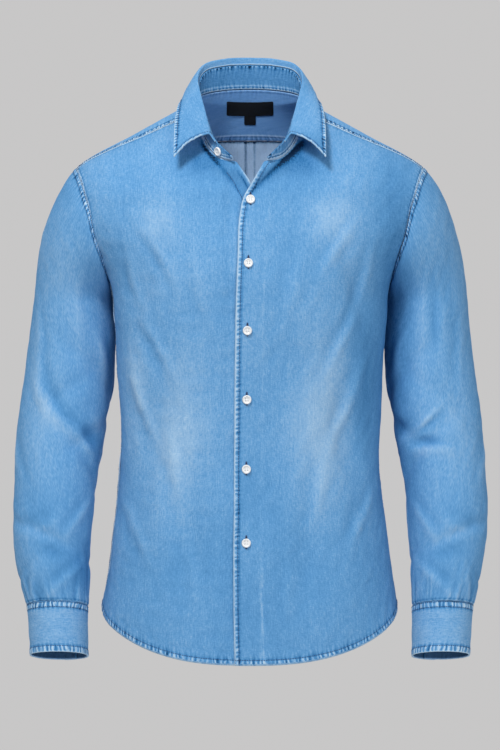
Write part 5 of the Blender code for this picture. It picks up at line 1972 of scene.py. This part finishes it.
# %% Thread on every seam
DARK_THREAD = plain_material("dark_thread", (0.032, 0.080, 0.190, 1.0), 0.65)
NECK_END = 0.145              # share of a front's inner border that is neckline
ARM_END = 0.30                # share of the back's side border where the side seam's rows start
FELL = (0.0020, 0.0080)       # the two rows of a felled side seam
SEAMS = (
    # piece, border, distance, start, end
    (FRONTS["front_left"], "left", EDGE_STITCH, NECK_END, 1.0),
    (FRONTS["front_right"], "right", UNDER_STITCH, NECK_END + 0.022, 1.0),
    (FRONTS["front_left"], "bottom", HEM_STITCH, 0.0, 1.0),
    (FRONTS["front_right"], "bottom", HEM_STITCH, 0.0, 1.0),
    (BACK, "bottom", HEM_STITCH, 0.0, 1.0),
    (BACK, "left", FELL[0], ARM_END, 1.0),
    (BACK, "left", FELL[1], ARM_END, 1.0),
    (BACK, "right", FELL[0], ARM_END, 1.0),
    (BACK, "right", FELL[1], ARM_END, 1.0),
    (YOKE, "bottom", TUCK, 0.0, 1.0),
    (YOKE, "bottom", YOKE_BAND, 0.20, 0.80),
    (YOKE, "left", TUCK, 0.0, 1.0),
    (YOKE, "left", YOKE_BAND, 0.0, 1.0),
    (YOKE, "right", TUCK, 0.0, 1.0),
    (YOKE, "right", YOKE_BAND, 0.0, 1.0),
    (STAND, "top", 0.0028, 0.0, 1.0),
    (LEAF, "bottom", LEAF_STITCH, 0.015, 0.985),
    (LEAF, "left", LEAF_STITCH, 0.10, 0.965),
    (LEAF, "right", LEAF_STITCH, 0.10, 0.965),
)
PAIRED_SEAMS = (
    (SLEEVES, "top", 0.0012, 0.0, 1.0),
    (SLEEVES, "top", SLEEVE_BAND, 0.0, 1.0),
    (CUFFS, "top", 0.0014, 0.0, 1.0),
    (CUFFS, "top", CUFF_BAND, 0.0, 1.0),
    (CUFFS, "bottom", CUFF_STITCH, 0.0, 1.0),
    (CUFFS, "left", CUFF_SIDE, 0.12, 0.88),
    (CUFFS, "right", CUFF_SIDE, 0.12, 0.88),
    (PLACKETS, "left", 0.0020, 0.02, 0.98),
    (PLACKETS, "right", 0.0020, 0.02, 0.98),
    (PLACKETS, "top", 0.0020, 0.06, 0.94),
)
dark_lines = [line_at(*seam) for seam in SEAMS]
dark_lines += [line_at(pair[side], *rest) for pair, *rest in PAIRED_SEAMS for side in ("left", "right")]
add_thread("seam_stitches", dark_lines, DARK_THREAD)

# %% [markdown]
# ## What the pieces were cut to
# Each wall stands for a flat cut of cloth, so the cell says how wide and long that cut is
# where it shows, and its flat area. The hidden turnings inside the seams aren't counted.
# A tube is stated as the flat cut all round it. For comparison it prints half the area of
# each wall's mesh, because a thin wall shows each bit of cloth twice.

CUTS = (
    # piece, width, length, flat area, how it is held, what it hangs from or lies on
    ("front_left", 0.306, 0.791, 0.1770, "hung", ("yoke",)),
    ("front_right", 0.306, 0.791, 0.1770, "hung", ("yoke",)),
    ("back", 0.589, 0.720, 0.3250, "hung", ("yoke",)),
    ("yoke", 0.470, 0.170, 0.0558, "draped", ()),
    ("sleeve_left", 0.445, 0.607, 0.1856, "hung", ("yoke",)),
    ("sleeve_right", 0.445, 0.607, 0.1856, "hung", ("yoke",)),
    ("cuff_left", 0.284, 0.073, 0.0194, "hung", ("sleeve_left",)),
    ("cuff_right", 0.284, 0.073, 0.0194, "hung", ("sleeve_right",)),
    ("sleeve_placket_left", 0.023, 0.180, 0.0038, "hung", ("sleeve_left",)),
    ("sleeve_placket_right", 0.023, 0.180, 0.0038, "hung", ("sleeve_right",)),
    ("collar_stand", 0.557, 0.033, 0.0096, "hung", ("yoke",)),
    ("collar_leaf", 0.575, 0.071, 0.0293, "folded", ("collar_stand",)),
    ("neck_label", 0.0655, 0.022, 0.0014, "hung", ("yoke",)),
    ("size_tab", 0.016, 0.014, 0.0002, "hung", ("yoke",)),
)
for name, width, length, area, held, holders in CUTS:
    shown = sum(face.area for face in CLOTHS[name].data.polygons) / 2
    print(f"{name}: cut {width} x {length} m, flat {area} m2, half the mesh {shown:.4f} m2")

# %% [markdown] ## The last lines
